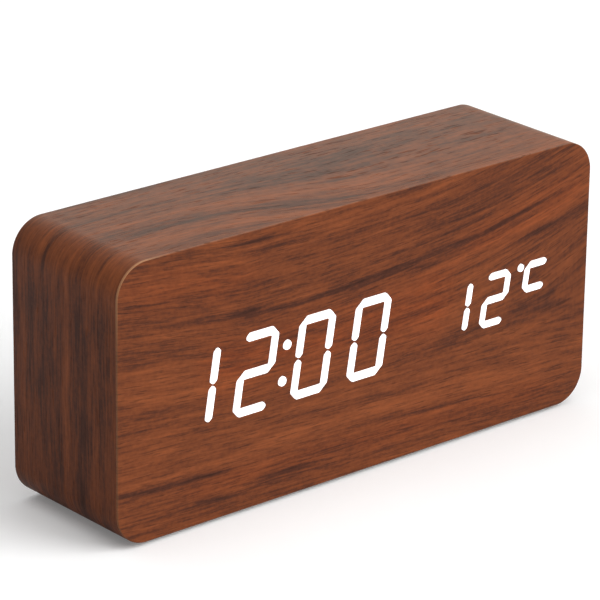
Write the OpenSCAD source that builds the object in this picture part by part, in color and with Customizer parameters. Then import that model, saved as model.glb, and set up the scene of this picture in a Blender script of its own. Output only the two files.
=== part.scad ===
// Bedside alarm clock in a walnut-veneered block, with glowing figures flush in the face.
// Millimetres. X to the right, Z up, the face looks towards -Y. The origin is on the table,
// under the middle of the block.

/* [Case] */

// Width of the block
body_w = 150; // [146:1:200]
// Depth of the block, front to back
body_d = 40; // [38:1:56]
// Height of the block, without its pads
body_h = 70; // [67:1:90]
// Radius of the four long edges
corner_r = 8.5; // [6:0.5:14]
// Wall of the wooden ring under the veneer
wall_t = 6; // [5:0.5:7]
// Thickness of the face veneer
face_t = 0.6; // [0.4:0.1:1]
// Thickness of the veneer on the band and the back
veneer_t = 0.5; // [0.3:0.1:0.8]
// Height of the felt pads
pad_h = 1; // [0.5:0.5:3]
// Diameter of the felt pads
pad_d = 8; // [6:1:12]

/* [Display] */

// Hour shown
hour = 12; // [0:1:23]
// Minute shown
minute = 0; // [0:1:59]
// Temperature shown, in degrees Celsius
temperature = 12; // [0:1:49]
// Time figures: height between the middles of the top and bottom bars
time_h = 18.45; // [15:0.05:20]
// Temperature figures: height between the middles of the top and bottom bars
temp_h = 12.2; // [10:0.1:13]
// Lean of the figures
slant = 9; // [0:0.5:12]
// Width of a bar over the figure's height, for the time
time_bar = 0.11; // [0.09:0.001:0.13]
// Width of a bar over the figure's height, for the temperature
temp_bar = 0.138; // [0.12:0.001:0.17]
// Dark gap round each lit bar
bar_gap = 0.2; // [0.1:0.05:0.3]

/* [Controls] */

// Diameter of a button cap
cap_d = 7.6; // [6:0.2:8.6]
// Distance between button centres
cap_pitch = 12; // [11.4:0.2:12.6]
// How far a button goes in
cap_travel = 0.5; // [0.3:0.1:0.7]

/* [Battery box] */

// Diameter of a cell
cell_d = 10.5; // [9.6:0.1:10.6]
// Length of a cell over its button
cell_len = 44.5; // [43:0.1:45]
// Thickness of the battery door
door_t = 2; // [1.6:0.1:2.4]

/* [Output] */

// Piece to draw, or all of them

/* [Hidden] */

$fn = 48;
eps = 0.01;
fit_gap = 0.25;
move_gap = 0.3;

// Levels from front to back, each the y of a surface.
y_face = -body_d / 2;
y_film = y_face + face_t;
film_t = 0.2;
board_t = 5;
y_board = y_film + board_t;
block_t = 5;
y_block = y_board + block_t;
pcb_t = 1.6;
y_pcb = y_block + pcb_t;
y_back = body_d / 2;
y_panel_out = y_back - veneer_t;
panel_t = 3;
y_panel_in = y_panel_out - panel_t;

// Heights and half sizes.
mid_z = pad_h + body_h / 2;
ring_w = body_w - 2 * veneer_t;
ring_h = body_h - 2 * veneer_t;
ring_r = corner_r - veneer_t;
in_x = ring_w / 2 - wall_t;
in_z = ring_h / 2 - wall_t;
rim_w = 3.5;
rebate_x = ring_w / 2 - rim_w;
rebate_z = ring_h / 2 - rim_w;
rebate_r = max(ring_r - rim_w, 1);
post = 10;
post_len = 12.5;
post_x = in_x - post / 2;
post_z = in_z - post / 2;

// Screws: shank diameter, head diameter, cross recess.
wood_screw_d = 3;
wood_head_d = 5.6;
wood_screw_len = 12;
wood_rim = 0.3;
wood_tip = 2;
wood_tip_d = 0.6;
wood_cross = 3;
wood_play = 0.1;
small_screw_d = 2.2;
small_head_d = 4;
small_head_t = 1.5;
small_cross = 2.2;
panel_bite = 2.4;
board_bite = 3.4;
cross_w = 0.6;

// Figures. A figure's middle lies on display_z, and widths follow the heights.
lean = tan(slant);
display_drop = 0.6;
display_z = mid_z - display_drop;
time_x = -24.8;
time_pitch = time_h * 0.962;
time_half_w = time_h * 0.252;
time_t = time_h * time_bar;
temp_x = 37.1;
temp_pitch = temp_h * 1.045;
temp_half_w = temp_h * 0.283;
temp_t = temp_h * temp_bar;
colon_r = time_h * 0.0664;
colon_z = time_h * 0.243;
unit_x = temp_x + temp_h * 1.648;
unit_z = temp_h * 0.254;
unit_half_h = temp_h * 0.256;
unit_half_w = temp_h * 0.27;
degree_x = temp_x + temp_h * 1.222;
degree_z = temp_h * 0.505;
degree_r = temp_h * 0.082;
window_x = 62;
window_z = 14;
window_r = 2;
film_lip = 3;
tip_round = 0.34;
well_play = 0.3;
well_cut = 0.6;

// Bars lit in each figure, in the order top, upper right, lower right, bottom,
// lower left, upper left, middle.
SEVEN = [
    [1, 1, 1, 1, 1, 1, 0],
    [0, 1, 1, 0, 0, 0, 0],
    [1, 1, 0, 1, 1, 0, 1],
    [1, 1, 1, 1, 0, 0, 1],
    [0, 1, 1, 0, 0, 1, 1],
    [1, 0, 1, 1, 0, 1, 1],
    [1, 0, 1, 1, 1, 1, 1],
    [1, 1, 1, 0, 0, 0, 0],
    [1, 1, 1, 1, 1, 1, 1],
    [1, 1, 1, 1, 0, 1, 1]
];
EVERY = [1, 1, 1, 1, 1, 1, 1];
CELSIUS = [1, 0, 0, 1, 1, 1, 0];

// Display board.
pcb_x = 67;
pcb_z = 25;
boss_x = pcb_x - 2.6;
boss_z = pcb_z - 4;
boss_d = 6.4;
block_flange_t = 1.6;
led_l = 1.6;
led_w = 0.8;
led_t = 0.6;

// Control insert in the back.
ctl_x = -0.24 * body_w;
ctl_w = 42;
ctl_h = 26;
ctl_r = 3;
ctl_face_t = 2;
ctl_wall = 1.6;
ctl_flange = 4;
ctl_flange_t = 1.5;
ctl_screw_x = ctl_w / 2 + ctl_flange / 2 + 0.2;
y_ctl_in = y_back - ctl_face_t;
y_flange = y_panel_in - ctl_flange_t;
ctl_lip = 2;
cap_z = mid_z + 4.5;
low_z = mid_z - 7.5;
cap_hole_d = cap_d + 2 * move_gap;
cap_lip_d = cap_d + 1.8;
cap_lip_t = 0.8;
cap_stem_d = 4;
cap_mark_t = 0.3;
y_cap = y_back - 0.3;
y_cap_lip = y_ctl_in - move_gap;
switch_w = 6;
switch_h = 3.5;
switch_leg_w = 0.6;
switch_leg_h = 0.8;
switch_leg_t = 2;
plunger_d = 3.4;
plunger_root = 1;
plunger_h = cap_travel + 1;
ctl_pcb_t = 1.6;
y_ctl_pcb = y_back - 10.6;
y_switch = y_ctl_pcb + switch_h;
y_plunger = y_switch + plunger_h;
ctl_post_d = 5;
ctl_post_x = ctl_w / 2 - ctl_wall - ctl_post_d / 2 + 0.2;
ctl_post_z = mid_z - 1.6;
ctl_bite = 5.5;
usb_w = 7.8;
usb_h = 2.9;
usb_wall = 0.3;
usb_cut = 1.1;
usb_x = ctl_x - 7;
mic_x = ctl_x + 4.2;
mic_d = 6;
mic_h = 2.7;
mic_hole_d = 1.5;
mic_leg_x = 1.2;
lead_d = 0.5;
sense_x = ctl_x + 12.2;
bead_d = 2.4;
bead_lift = 5.2;
slot_w = 6;
slot_h = 0.8;
slot_pitch = 1.8;

// Battery box, opening at the back. Cells lie along X, one above another.
box_x = 0.16 * body_w;
box_wall = 1.2;
spring_len = 5;
spring_wire = 0.8;
spring_r = 3.2;
spring_turns = 4;
spring_taper = 0.25;
plate_t = 0.4;
plate_w = 9;
plate_h = 9.4;
well_w = cell_len + spring_len + 2 * plate_t + 0.3;
well_h = 3 * cell_d + 2.1;
door_lip = 1.9;
hole_w = well_w + 2 * door_lip;
hole_h = well_h + 2 * door_lip;
door_w = hole_w - 2 * move_gap;
door_h = hole_h - 2 * move_gap;
box_depth = 15;
y_box = y_back - box_depth;
y_well = y_box + box_wall;
y_ledge = y_back - door_t - move_gap;
y_cell = y_well + cell_d / 2;
box_out_w = hole_w + 2 * box_wall;
box_out_h = hole_h + 2 * box_wall;
box_flange = 4.4;
box_screw_z = box_out_h / 2 + box_flange / 2 + 0.1;
box_flange_t = 1.8;
hinge_r = 0.6;
hinge_run = 0.05;
hinge_y = y_back - door_t / 2;
hinge_x = box_x + door_w / 2 - door_t / 2;
scoop_d = 13;
grip_x = 10.5;
grip_pitch = 2;
grip_w = 0.8;
grip_len = 9;
grip_t = 0.5;
button_d = 3.8;
button_h = 0.9;
cell_pitch = cell_d + 0.5;
well_left = box_x - well_w / 2;
well_right = box_x + well_w / 2;
wire_d = 1.3;
wire_out = 1.4;
red_end_x = 36;
black_end_x = 12;

// ---------- helpers ----------

// A flat shape drawn in X and Z, made solid between two levels.
module slab(y0, y1) {
    translate([0, y1, 0])
        rotate([90, 0, 0])
            linear_extrude(y1 - y0)
                children();
}

// A round bar along Y between two levels.
module rod(x, z, d, y0, y1, d2 = -1) {
    translate([x, y1, z])
        rotate([90, 0, 0])
            cylinder(h = y1 - y0, d1 = d, d2 = d2 < 0 ? d : d2);
}

// A box given by its middle in X and Z, its size there and its two levels.
module brick(x, z, w, h, y0, y1) {
    translate([x - w / 2, y0, z - h / 2])
        cube([w, y1 - y0, h]);
}

module rounded(w, h, r) {
    square([w - 2 * r, h], center = true);
    square([w, h - 2 * r], center = true);
    for (sx = [-1, 1], sz = [-1, 1])
        translate([sx * (w / 2 - r), sz * (h / 2 - r)])
            circle(r = r);
}

module rounded_slab(x, z, w, h, r, y0, y1) {
    translate([x, 0, z])
        slab(y0, y1)
            rounded(w, h, r);
}

module corners(dx, dz) {
    for (sx = [-1, 1], sz = [-1, 1])
        translate([sx * dx, 0, sz * dz])
            children();
}

// The cross cut in a screw head, with its mouth at the level y1.
module cross_recess(y1, size, way = 1) {
    for (a = [0, 90])
        translate([0, y1, 0])
            rotate([0, a, 0])
                translate([-size / 2, way > 0 ? -size * 0.4 : -eps, -cross_w / 2])
                    cube([size, size * 0.4 + eps, cross_w]);
}

// A countersunk wood screw with its head's face at the level y1, driven towards -Y.
module wood_screw(y1) {
    sink = (wood_head_d - wood_screw_d) / 2;
    y_tip = y1 - wood_screw_len;
    difference() {
        union() {
            rod(0, 0, wood_head_d, y1 - wood_rim, y1);
            rod(0, 0, wood_head_d, y1 - wood_rim - sink, y1 - wood_rim, wood_screw_d);
            rod(0, 0, wood_screw_d, y_tip + wood_tip, y1 - wood_rim - sink + eps);
            rod(0, 0, wood_screw_d, y_tip, y_tip + wood_tip + eps, wood_tip_d);
        }
        cross_recess(y1, wood_cross);
    }
}

// The hole for a wood screw, a hair larger all round than the screw: its clearance,
// its countersink and its mouth, from the level y0 out.
module wood_screw_hole(y1, y0) {
    sink = (wood_head_d - wood_screw_d) / 2;
    y_neck = y1 - wood_rim - sink;
    head_d = wood_head_d + wood_play;
    shank_d = wood_screw_d + wood_play;
    rod(0, 0, head_d, y1 - wood_rim, y1 + 1);
    rod(0, 0, head_d, y_neck, y1 - wood_rim, shank_d);
    rod(0, 0, shank_d, y0, y_neck + eps);
}

// A pan-headed screw whose head sits on the level y0 and whose shank runs dir * len.
module pan_screw(y0, len, dir) {
    head0 = dir > 0 ? y0 - small_head_t : y0;
    difference() {
        union() {
            rod(0, 0, small_head_d, head0, head0 + small_head_t);
            if (dir > 0)
                rod(0, 0, small_screw_d, y0 - eps, y0 + len);
            else
                rod(0, 0, small_screw_d, y0 - len, y0 + eps);
        }
        if (dir > 0)
            cross_recess(head0, small_cross, -1);
        else
            cross_recess(head0 + small_head_t, small_cross);
    }
}

// One bar of a figure, with pointed ends. It is drawn a hair large, so that bars which
// meet at a corner are one shape.
module bar(len, t, upright) {
    l = len / 2 + eps;
    h = t / 2 + eps;
    rotate(upright ? 90 : 0)
        polygon([[-l, 0], [h - l, h], [l - h, h], [l, 0], [l - h, -h], [h - l, -h]]);
}

// The bars of one figure that are on. cut shortens each bar at both ends.
module figure(on, half_w, h, t, cut = 0) {
    for (i = [0:6])
        if (on[i] == 1)
            translate(BAR_AT(i, half_w, h))
                bar((BAR_UP[i] ? h / 2 : 2 * half_w) - 2 * cut, t, BAR_UP[i]);
}

BAR_UP = [false, true, true, false, true, true, false];

function BAR_AT(i, half_w, h) =
    i == 0 ? [0, h / 2] :
    i == 1 ? [half_w, h / 4] :
    i == 2 ? [half_w, -h / 4] :
    i == 3 ? [0, -h / 2] :
    i == 4 ? [-half_w, -h / 4] :
    i == 5 ? [-half_w, h / 4] : [0, 0];

function tens(n) = floor(n / 10);
function units(n) = n - 10 * floor(n / 10);

// Places a figure's flat drawing on the face, leaning.
module lean_at(x) {
    translate([x, display_z])
        multmatrix([[1, lean, 0, 0], [0, 1, 0, 0], [0, 0, 1, 0], [0, 0, 0, 1]])
            children();
}

module time_place(i) {
    lean_at(time_x + (i - 1.5) * time_pitch)
        children();
}

module temp_place(i) {
    lean_at(temp_x + (i - 0.5) * temp_pitch)
        children();
}

// Lit shapes, with the bars' meeting corners and free tips softened.
module soft(t) {
    offset(r = tip_round * t, $fn = 20)
        offset(delta = -tip_round * t)
            children();
}

module hour_2d() {
    time_place(0)
        figure(SEVEN[tens(hour)], time_half_w, time_h, time_t);
    time_place(1)
        figure(SEVEN[units(hour)], time_half_w, time_h, time_t);
}

module minute_2d() {
    time_place(2)
        figure(SEVEN[tens(minute)], time_half_w, time_h, time_t);
    time_place(3)
        figure(SEVEN[units(minute)], time_half_w, time_h, time_t);
}

module temperature_2d() {
    temp_place(0)
        figure(SEVEN[tens(temperature)], temp_half_w, temp_h, temp_t);
    temp_place(1)
        figure(SEVEN[units(temperature)], temp_half_w, temp_h, temp_t);
}

module unit_place() {
    translate([unit_x, display_z + unit_z])
        multmatrix([[1, lean, 0, 0], [0, 1, 0, 0], [0, 0, 1, 0], [0, 0, 0, 1]])
            children();
}

// The letter after the degree mark: two level bars and one tall bar.
module unit_2d(cut = 0) {
    unit_place() {
        for (s = [-1, 1])
            translate([0, s * unit_half_h])
                bar(2 * (unit_half_w - cut), temp_t, false);
        translate([-unit_half_w, 0])
            bar(2 * (unit_half_h - cut), temp_t, true);
    }
}

module colon_2d(grow) {
    for (s = [-1, 1])
        translate([time_x + s * colon_z * lean, display_z + s * colon_z])
            circle(r = colon_r + grow);
}

module degree_2d(grow) {
    translate([degree_x, display_z + degree_z])
        circle(r = degree_r + grow);
}

// Open the block behind every bar, lit or not.
module light_wells() {
    for (i = [0:3])
        time_place(i)
            figure(EVERY, time_half_w, time_h, time_t + well_play, well_cut);
    for (i = [0:1])
        temp_place(i)
            figure(EVERY, temp_half_w, temp_h, temp_t + well_play, well_cut - 0.1);
    unit_2d(well_cut - 0.25);
    colon_2d(bar_gap);
    degree_2d(bar_gap);
}

// ---------- case ----------

module case_ring() {
    color([0.62, 0.47, 0.33])
        difference() {
            rounded_slab(0, mid_z, ring_w, ring_h, ring_r, y_board, y_panel_out);
            brick(0, mid_z, 2 * in_x, 2 * in_z, y_board - 1, y_back);
            rounded_slab(0, mid_z, 2 * rebate_x, 2 * rebate_z, rebate_r, y_panel_in, y_back);
        }
}

module corner_blocks() {
    color([0.78, 0.64, 0.42])
        difference() {
            translate([0, 0, mid_z])
                corners(post_x, post_z)
                    brick(0, 0, post, post, y_panel_in - post_len, y_panel_in);
            translate([0, 0, mid_z])
                corners(post_x, post_z)
                    wood_screw_bore();
        }
}

// The bore a wood screw's thread has cut for itself.
module wood_screw_bore() {
    y_tip = y_back - wood_screw_len;
    rod(0, 0, wood_screw_d, y_tip + wood_tip, y_back);
    rod(0, 0, wood_screw_d, y_tip, y_tip + wood_tip + eps, wood_tip_d);
}

module front_board() {
    color([0.62, 0.47, 0.33])
        difference() {
            rounded_slab(0, mid_z, ring_w, ring_h, ring_r, y_film, y_board);
            rounded_slab(0, mid_z, 2 * window_x, 2 * window_z, window_r, y_film - 1, y_board + 1);
            film_outline(y_film - 1);
            translate([0, 0, mid_z])
                corners(boss_x, boss_z)
                    rod(0, 0, small_screw_d, y_board - board_bite, y_board + 1);
        }
}

module face_veneer() {
    arris = 0.15;
    color([0.42, 0.24, 0.15])
        difference() {
            hull() {
                rounded_slab(0, mid_z, body_w, body_h, corner_r, y_face + arris, y_film, $fn = 96);
                rounded_slab(
                    0, mid_z, body_w - 2 * arris, body_h - 2 * arris, corner_r - arris,
                    y_face, y_film, $fn = 96
                );
            }
            slab(y_face - 1, y_film + 1)
                offset(delta = bar_gap)
                    soft(time_t) {
                        hour_2d();
                        minute_2d();
                    }
            slab(y_face - 1, y_film + 1)
                offset(delta = bar_gap)
                    soft(temp_t) {
                        temperature_2d();
                        unit_2d();
                    }
            slab(y_face - 1, y_film + 1) {
                colon_2d(bar_gap);
                degree_2d(bar_gap);
            }
        }
}

module band_veneer() {
    color([0.4, 0.23, 0.14]) {
        difference() {
            rounded_slab(0, mid_z, body_w, body_h, corner_r, y_film, y_back);
            rounded_slab(0, mid_z, ring_w, ring_h, ring_r, y_film - 1, y_panel_out);
            rounded_slab(0, mid_z, 2 * rebate_x, 2 * rebate_z, rebate_r, y_panel_out - 1, y_back + 1);
        }
    }
}

module panel_outline() {
    difference() {
        rounded(2 * (rebate_x - fit_gap), 2 * (rebate_z - fit_gap), rebate_r - fit_gap);
        translate([ctl_x, 0])
            rounded(ctl_w + fit_gap, ctl_h + fit_gap, ctl_r + fit_gap / 2);
        translate([box_x, 0])
            square([box_out_w + fit_gap, box_out_h + fit_gap], center = true);
    }
}

module rear_panel() {
    color([0.55, 0.42, 0.3])
        difference() {
            translate([0, 0, mid_z])
                slab(y_panel_in, y_panel_out)
                    panel_outline();
            translate([0, 0, mid_z])
                corners(post_x, post_z)
                    wood_screw_hole(y_back, y_panel_in - 1);
            flange_screws_at()
                rod(0, 0, small_screw_d, y_panel_in - 1, y_panel_in + panel_bite);
        }
}

module rear_veneer() {
    color([0.42, 0.24, 0.15])
        difference() {
            translate([0, 0, mid_z])
                slab(y_panel_out, y_back)
                    panel_outline();
            translate([0, 0, mid_z])
                corners(post_x, post_z)
                    wood_screw_hole(y_back, y_panel_in - 1);
        }
}

module panel_screws() {
    color([0.3, 0.29, 0.28])
        translate([0, 0, mid_z])
            corners(post_x, post_z)
                wood_screw(y_back);
}

module foot_pads() {
    color([0.12, 0.11, 0.1])
        for (sx = [-1, 1], sy = [-1, 1])
            translate([sx * (body_w / 2 - 16), sy * (body_d / 2 - 8), 0])
                cylinder(h = pad_h, d = pad_d);
}

// ---------- display ----------

module film_outline(y0) {
    film_w = 2 * (window_x + film_lip);
    film_h = 2 * (window_z + film_lip);
    rounded_slab(0, mid_z, film_w, film_h, window_r + 1, y0, y_film + film_t);
}

module mask_film() {
    color([0.14, 0.06, 0.05])
        film_outline(y_film);
}

module hour_segments() {
    color([1, 1, 1])
        slab(y_face, y_film)
            soft(time_t)
                hour_2d();
}

module colon_dots() {
    color([1, 1, 1])
        slab(y_face, y_film)
            colon_2d(0);
}

module minute_segments() {
    color([1, 1, 1])
        slab(y_face, y_film)
            soft(time_t)
                minute_2d();
}

module temperature_segments() {
    color([1, 1, 1])
        slab(y_face, y_film)
            soft(temp_t)
                temperature_2d();
}

module degree_mark() {
    color([1, 1, 1])
        slab(y_face, y_film) {
            soft(temp_t)
                unit_2d();
            degree_2d(0);
        }
}

module reflector_block() {
    color([0.9, 0.9, 0.88])
        difference() {
            union() {
                rounded_slab(
                    0, mid_z, 2 * (window_x - fit_gap), 2 * (window_z - fit_gap),
                    window_r - fit_gap, y_film + film_t, y_board + eps
                );
                brick(0, mid_z, 2 * window_x + 4, 2 * window_z + 4, y_board, y_block);
                brick(0, mid_z, 2 * pcb_x, 2 * pcb_z, y_board, y_board + block_flange_t);
                translate([0, 0, mid_z])
                    corners(boss_x - 0.8, boss_z)
                        rod(0, 0, boss_d, y_board, y_block);
            }
            slab(y_film, y_block + 1)
                light_wells();
            translate([0, 0, mid_z])
                corners(boss_x, boss_z)
                    rod(0, 0, small_screw_d, y_board - 1, y_block + 1);
        }
}

module display_pcb() {
    color([0.05, 0.3, 0.14])
        difference() {
            brick(0, mid_z, 2 * pcb_x, 2 * pcb_z, y_block, y_pcb);
            translate([0, 0, mid_z])
                corners(boss_x, boss_z)
                    rod(0, 0, small_screw_d, y_block - 1, y_pcb + 1);
        }
}

module display_screws() {
    color([0.75, 0.75, 0.72])
        translate([0, 0, mid_z])
            corners(boss_x, boss_z)
                pan_screw(y_pcb, pcb_t + block_t + board_bite, -1);
}

// A lamp at the middle of each bar, standing on the board inside its well.
module lamp(upright) {
    brick(0, 0, upright ? led_w : led_l, upright ? led_l : led_w, y_block - led_t, y_block);
}

module figure_lamps(x, z, on, half_w, h) {
    for (i = [0:6])
        if (on[i] == 1)
            translate([
                x + BAR_AT(i, half_w, h)[0] + BAR_AT(i, half_w, h)[1] * lean, 0,
                z + BAR_AT(i, half_w, h)[1]
            ])
                lamp(BAR_UP[i]);
}

module segment_leds() {
    color([0.95, 0.9, 0.6]) {
        for (i = [0:3])
            figure_lamps(time_x + (i - 1.5) * time_pitch, display_z, EVERY, time_half_w, time_h);
        for (i = [0:1])
            figure_lamps(temp_x + (i - 0.5) * temp_pitch, display_z, EVERY, temp_half_w, temp_h);
        figure_lamps(unit_x, display_z + unit_z, CELSIUS, unit_half_w, 2 * unit_half_h);
        for (s = [-1, 1])
            translate([time_x + s * colon_z * lean, 0, display_z + s * colon_z])
                lamp(true);
        translate([degree_x, 0, display_z + degree_z])
            brick(0, 0, led_w, led_w * 2, y_block - led_t, y_block);
    }
}

// ---------- parts on the display board ----------

leg_w = 0.35;
leg_t = 0.2;
leg_foot = 1.2;
leg_inset = 0.6;
chip_lift = 0.1;
dimple = 0.15;
mcu_x = -6;
mcu_z = mid_z + 9;
mcu_w = 10;
mcu_h = 8;
mcu_t = 1.5;
driver_x = 22;
driver_z = mid_z + 10;
driver_w = 17.6;
driver_h = 7.4;
driver_t = 2.2;
clock_chip_x = -24;
clock_chip_z = mid_z + 12;
clock_chip_w = 5;
clock_chip_h = 4;

// A chip lying on the board's back, with legs along its top and bottom edges.
module chip(x, z, w, h, t, legs) {
    run = w - 2 * leg_inset;
    brick(x, z, w, h, y_pcb + chip_lift, y_pcb + t);
    for (i = [0:legs - 1], s = [-1, 1]) {
        lx = x - run / 2 + i * run / (legs - 1);
        brick(lx, z + s * (h / 2 + 0.5), leg_w, leg_foot, y_pcb, y_pcb + leg_t);
        brick(lx, z + s * (h / 2 + 0.1), leg_w, 2 * leg_t, y_pcb, y_pcb + t / 2);
    }
}

// The dimple that marks a chip's first leg.
module first_leg_mark(x, z, d, t) {
    rod(x, z, d, y_pcb + t - dimple, y_pcb + t + 1);
}

module microcontroller() {
    color([0.1, 0.1, 0.11])
        difference() {
            chip(mcu_x, mcu_z, mcu_w, mcu_h, mcu_t, 11);
            first_leg_mark(mcu_x - mcu_w / 2 + 1.4, mcu_z - mcu_h / 2 + 1.4, 0.9, mcu_t);
        }
}

module led_driver() {
    color([0.1, 0.1, 0.11])
        difference() {
            chip(driver_x, driver_z, driver_w, driver_h, driver_t, 14);
            first_leg_mark(driver_x - driver_w / 2 + 1.4, driver_z, 1.6, driver_t);
        }
}

module clock_chip() {
    left = clock_chip_x - clock_chip_w / 2;
    low = clock_chip_z - clock_chip_h / 2;
    color([0.1, 0.1, 0.11])
        difference() {
            chip(clock_chip_x, clock_chip_z, clock_chip_w, clock_chip_h, mcu_t, 4);
            first_leg_mark(left + 0.7, low + 0.8, 0.7, mcu_t);
        }
}

crystal_x = -28;
crystal_z = mid_z + 4;
crystal_d = 3;
crystal_len = 8;
crystal_lead = 1.8;
crystal_lead_d = 0.4;
crystal_lead_z = 0.6;

module crystal() {
    y_axis = y_pcb + crystal_d / 2 + 0.1;
    x_bend = crystal_x - crystal_lead;
    foot = crystal_lead_d + 0.1;
    color([0.8, 0.8, 0.78]) {
        translate([crystal_x, y_axis, crystal_z])
            rotate([0, 90, 0])
                cylinder(h = crystal_len, d = crystal_d);
        for (s = [-1, 1])
            translate([x_bend, y_axis, crystal_z + s * crystal_lead_z])
                rotate([0, 90, 0])
                    cylinder(h = crystal_lead + 0.2, d = crystal_lead_d, $fn = 16);
        for (s = [-1, 1])
            brick(x_bend, crystal_z + s * crystal_lead_z, foot, foot, y_pcb, y_axis + foot / 2);
    }
}

coin_x = -48;
coin_z = mid_z - 3;
coin_d = 20;
coin_rim = 2;
coin_floor = 1.2;
coin_top = 4.4;
coin_step = 0.5;
clip_w = 9;
clip_h = 8;

module coin_cell_holder() {
    z_clip = coin_z + coin_d / 2 + 1;
    color([0.15, 0.15, 0.16])
        difference() {
            union() {
                rod(coin_x, coin_z, coin_d + 2 * coin_rim, y_pcb, y_pcb + coin_top);
                brick(coin_x, coin_z, coin_d + 7, clip_h, y_pcb, y_pcb + 3);
            }
            rod(coin_x, coin_z, coin_d + 0.2, y_pcb + coin_floor, y_pcb + coin_top + 1);
            brick(coin_x, z_clip, clip_w, clip_h, y_pcb + 2, y_pcb + coin_top + 1);
        }
}

module coin_cell() {
    y_step = y_pcb + coin_floor + coin_step;
    color([0.82, 0.82, 0.8]) {
        rod(coin_x, coin_z, coin_d - 2.4, y_pcb + coin_floor, y_step);
        rod(coin_x, coin_z, coin_d, y_step, y_pcb + coin_top);
    }
}

buzzer_x = 46;
tall_z = mid_z - 12;
buzzer_d = 12;
buzzer_h = 8.5;
buzzer_step = 0.3;
buzzer_hole = 2;

module buzzer() {
    y_top = y_pcb + buzzer_h;
    color([0.08, 0.08, 0.08])
        difference() {
            union() {
                rod(buzzer_x, tall_z, buzzer_d, y_pcb, y_top - buzzer_step);
                rod(buzzer_x, tall_z, buzzer_d - 1, y_top - buzzer_step, y_top);
            }
            rod(buzzer_x, tall_z, buzzer_hole, y_pcb + buzzer_h / 2, y_top + 1);
        }
}

capacitor_x = [22, 29];
capacitor_d = 5;
capacitor_h = 7;
groove_len = 3.4;
groove_w = 0.3;

module capacitors() {
    color([0.13, 0.15, 0.2])
        for (x = capacitor_x)
            difference() {
                rod(x, tall_z, capacitor_d, y_pcb, y_pcb + capacitor_h);
                cross_groove(x, y_pcb + capacitor_h - leg_t);
            }
}

module cross_groove(x, y0) {
    brick(x, tall_z, groove_len, groove_w, y0, y0 + 1);
    brick(x, tall_z, groove_w, groove_len, y0, y0 + 1);
}

resistor_x = 12;
resistor_z = mid_z + 1.5;
resistor_pitch = 2.8;
resistor_w = 0.9;
resistor_len = 1.7;
resistor_t = 0.5;

module resistors() {
    color([0.2, 0.2, 0.22])
        for (i = [0:7])
            brick(
                resistor_x + i * resistor_pitch, resistor_z, resistor_w, resistor_len,
                y_pcb, y_pcb + resistor_t
            );
}

// ---------- ribbon between the two boards ----------

sock_w = 12;
sock_h = 4.5;
sock_t = 5;
sock_wall = 0.7;
sock_deep = 3;
front_sock_x = -12;
front_sock_z = mid_z - 14;
rear_sock_x = ctl_x;
rear_sock_z = mid_z - 5;
y_rear_board = y_ctl_pcb - ctl_pcb_t;

module ribbon_sockets() {
    color([0.93, 0.91, 0.85]) {
        socket(front_sock_x, front_sock_z, y_pcb, y_pcb + sock_t, 1);
        socket(rear_sock_x, rear_sock_z, y_rear_board - sock_t, y_rear_board, -1);
    }
}

module socket(x, z, y0, y1, way) {
    difference() {
        brick(x, z, sock_w, sock_h, y0, y1);
        if (way > 0)
            brick(x, z, sock_w - 2 * sock_wall, sock_h - 2 * sock_wall, y1 - sock_deep, y1 + 1);
        else
            brick(x, z, sock_w - 2 * sock_wall, sock_h - 2 * sock_wall, y0 - 1, y0 + sock_deep);
    }
}

// The cable stands out of the front socket, bends over, crosses, and turns into the rear one.
cable_t = 1;
cable_w = 9;
cable_lean = 4;

module ribbon_cable() {
    y0 = y_pcb + sock_t - sock_deep;
    y1 = y_rear_board - sock_t + sock_deep;
    y_mid = (y0 + y1) / 2;
    hw = cable_w / 2;
    ht = cable_t / 2;
    color([0.72, 0.72, 0.7]) {
        brick(front_sock_x, front_sock_z, cable_w, cable_t, y0, y_mid + ht);
        brick(rear_sock_x, rear_sock_z, cable_w, cable_t, y_mid - ht, y1);
        slab(y_mid - ht, y_mid + ht)
            polygon([
                [front_sock_x + hw, front_sock_z - ht],
                [front_sock_x + hw, front_sock_z + ht],
                [front_sock_x - hw, front_sock_z + ht + cable_lean],
                [rear_sock_x + hw, rear_sock_z + ht],
                [rear_sock_x - hw, rear_sock_z + ht],
                [rear_sock_x - hw, rear_sock_z - ht],
                [rear_sock_x + hw, rear_sock_z - ht - cable_lean],
                [front_sock_x - hw, front_sock_z - ht]
            ]);
    }
}

// ---------- controls in the back ----------

function cap_at(i) = ctl_x + (i - 1) * cap_pitch;

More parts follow.
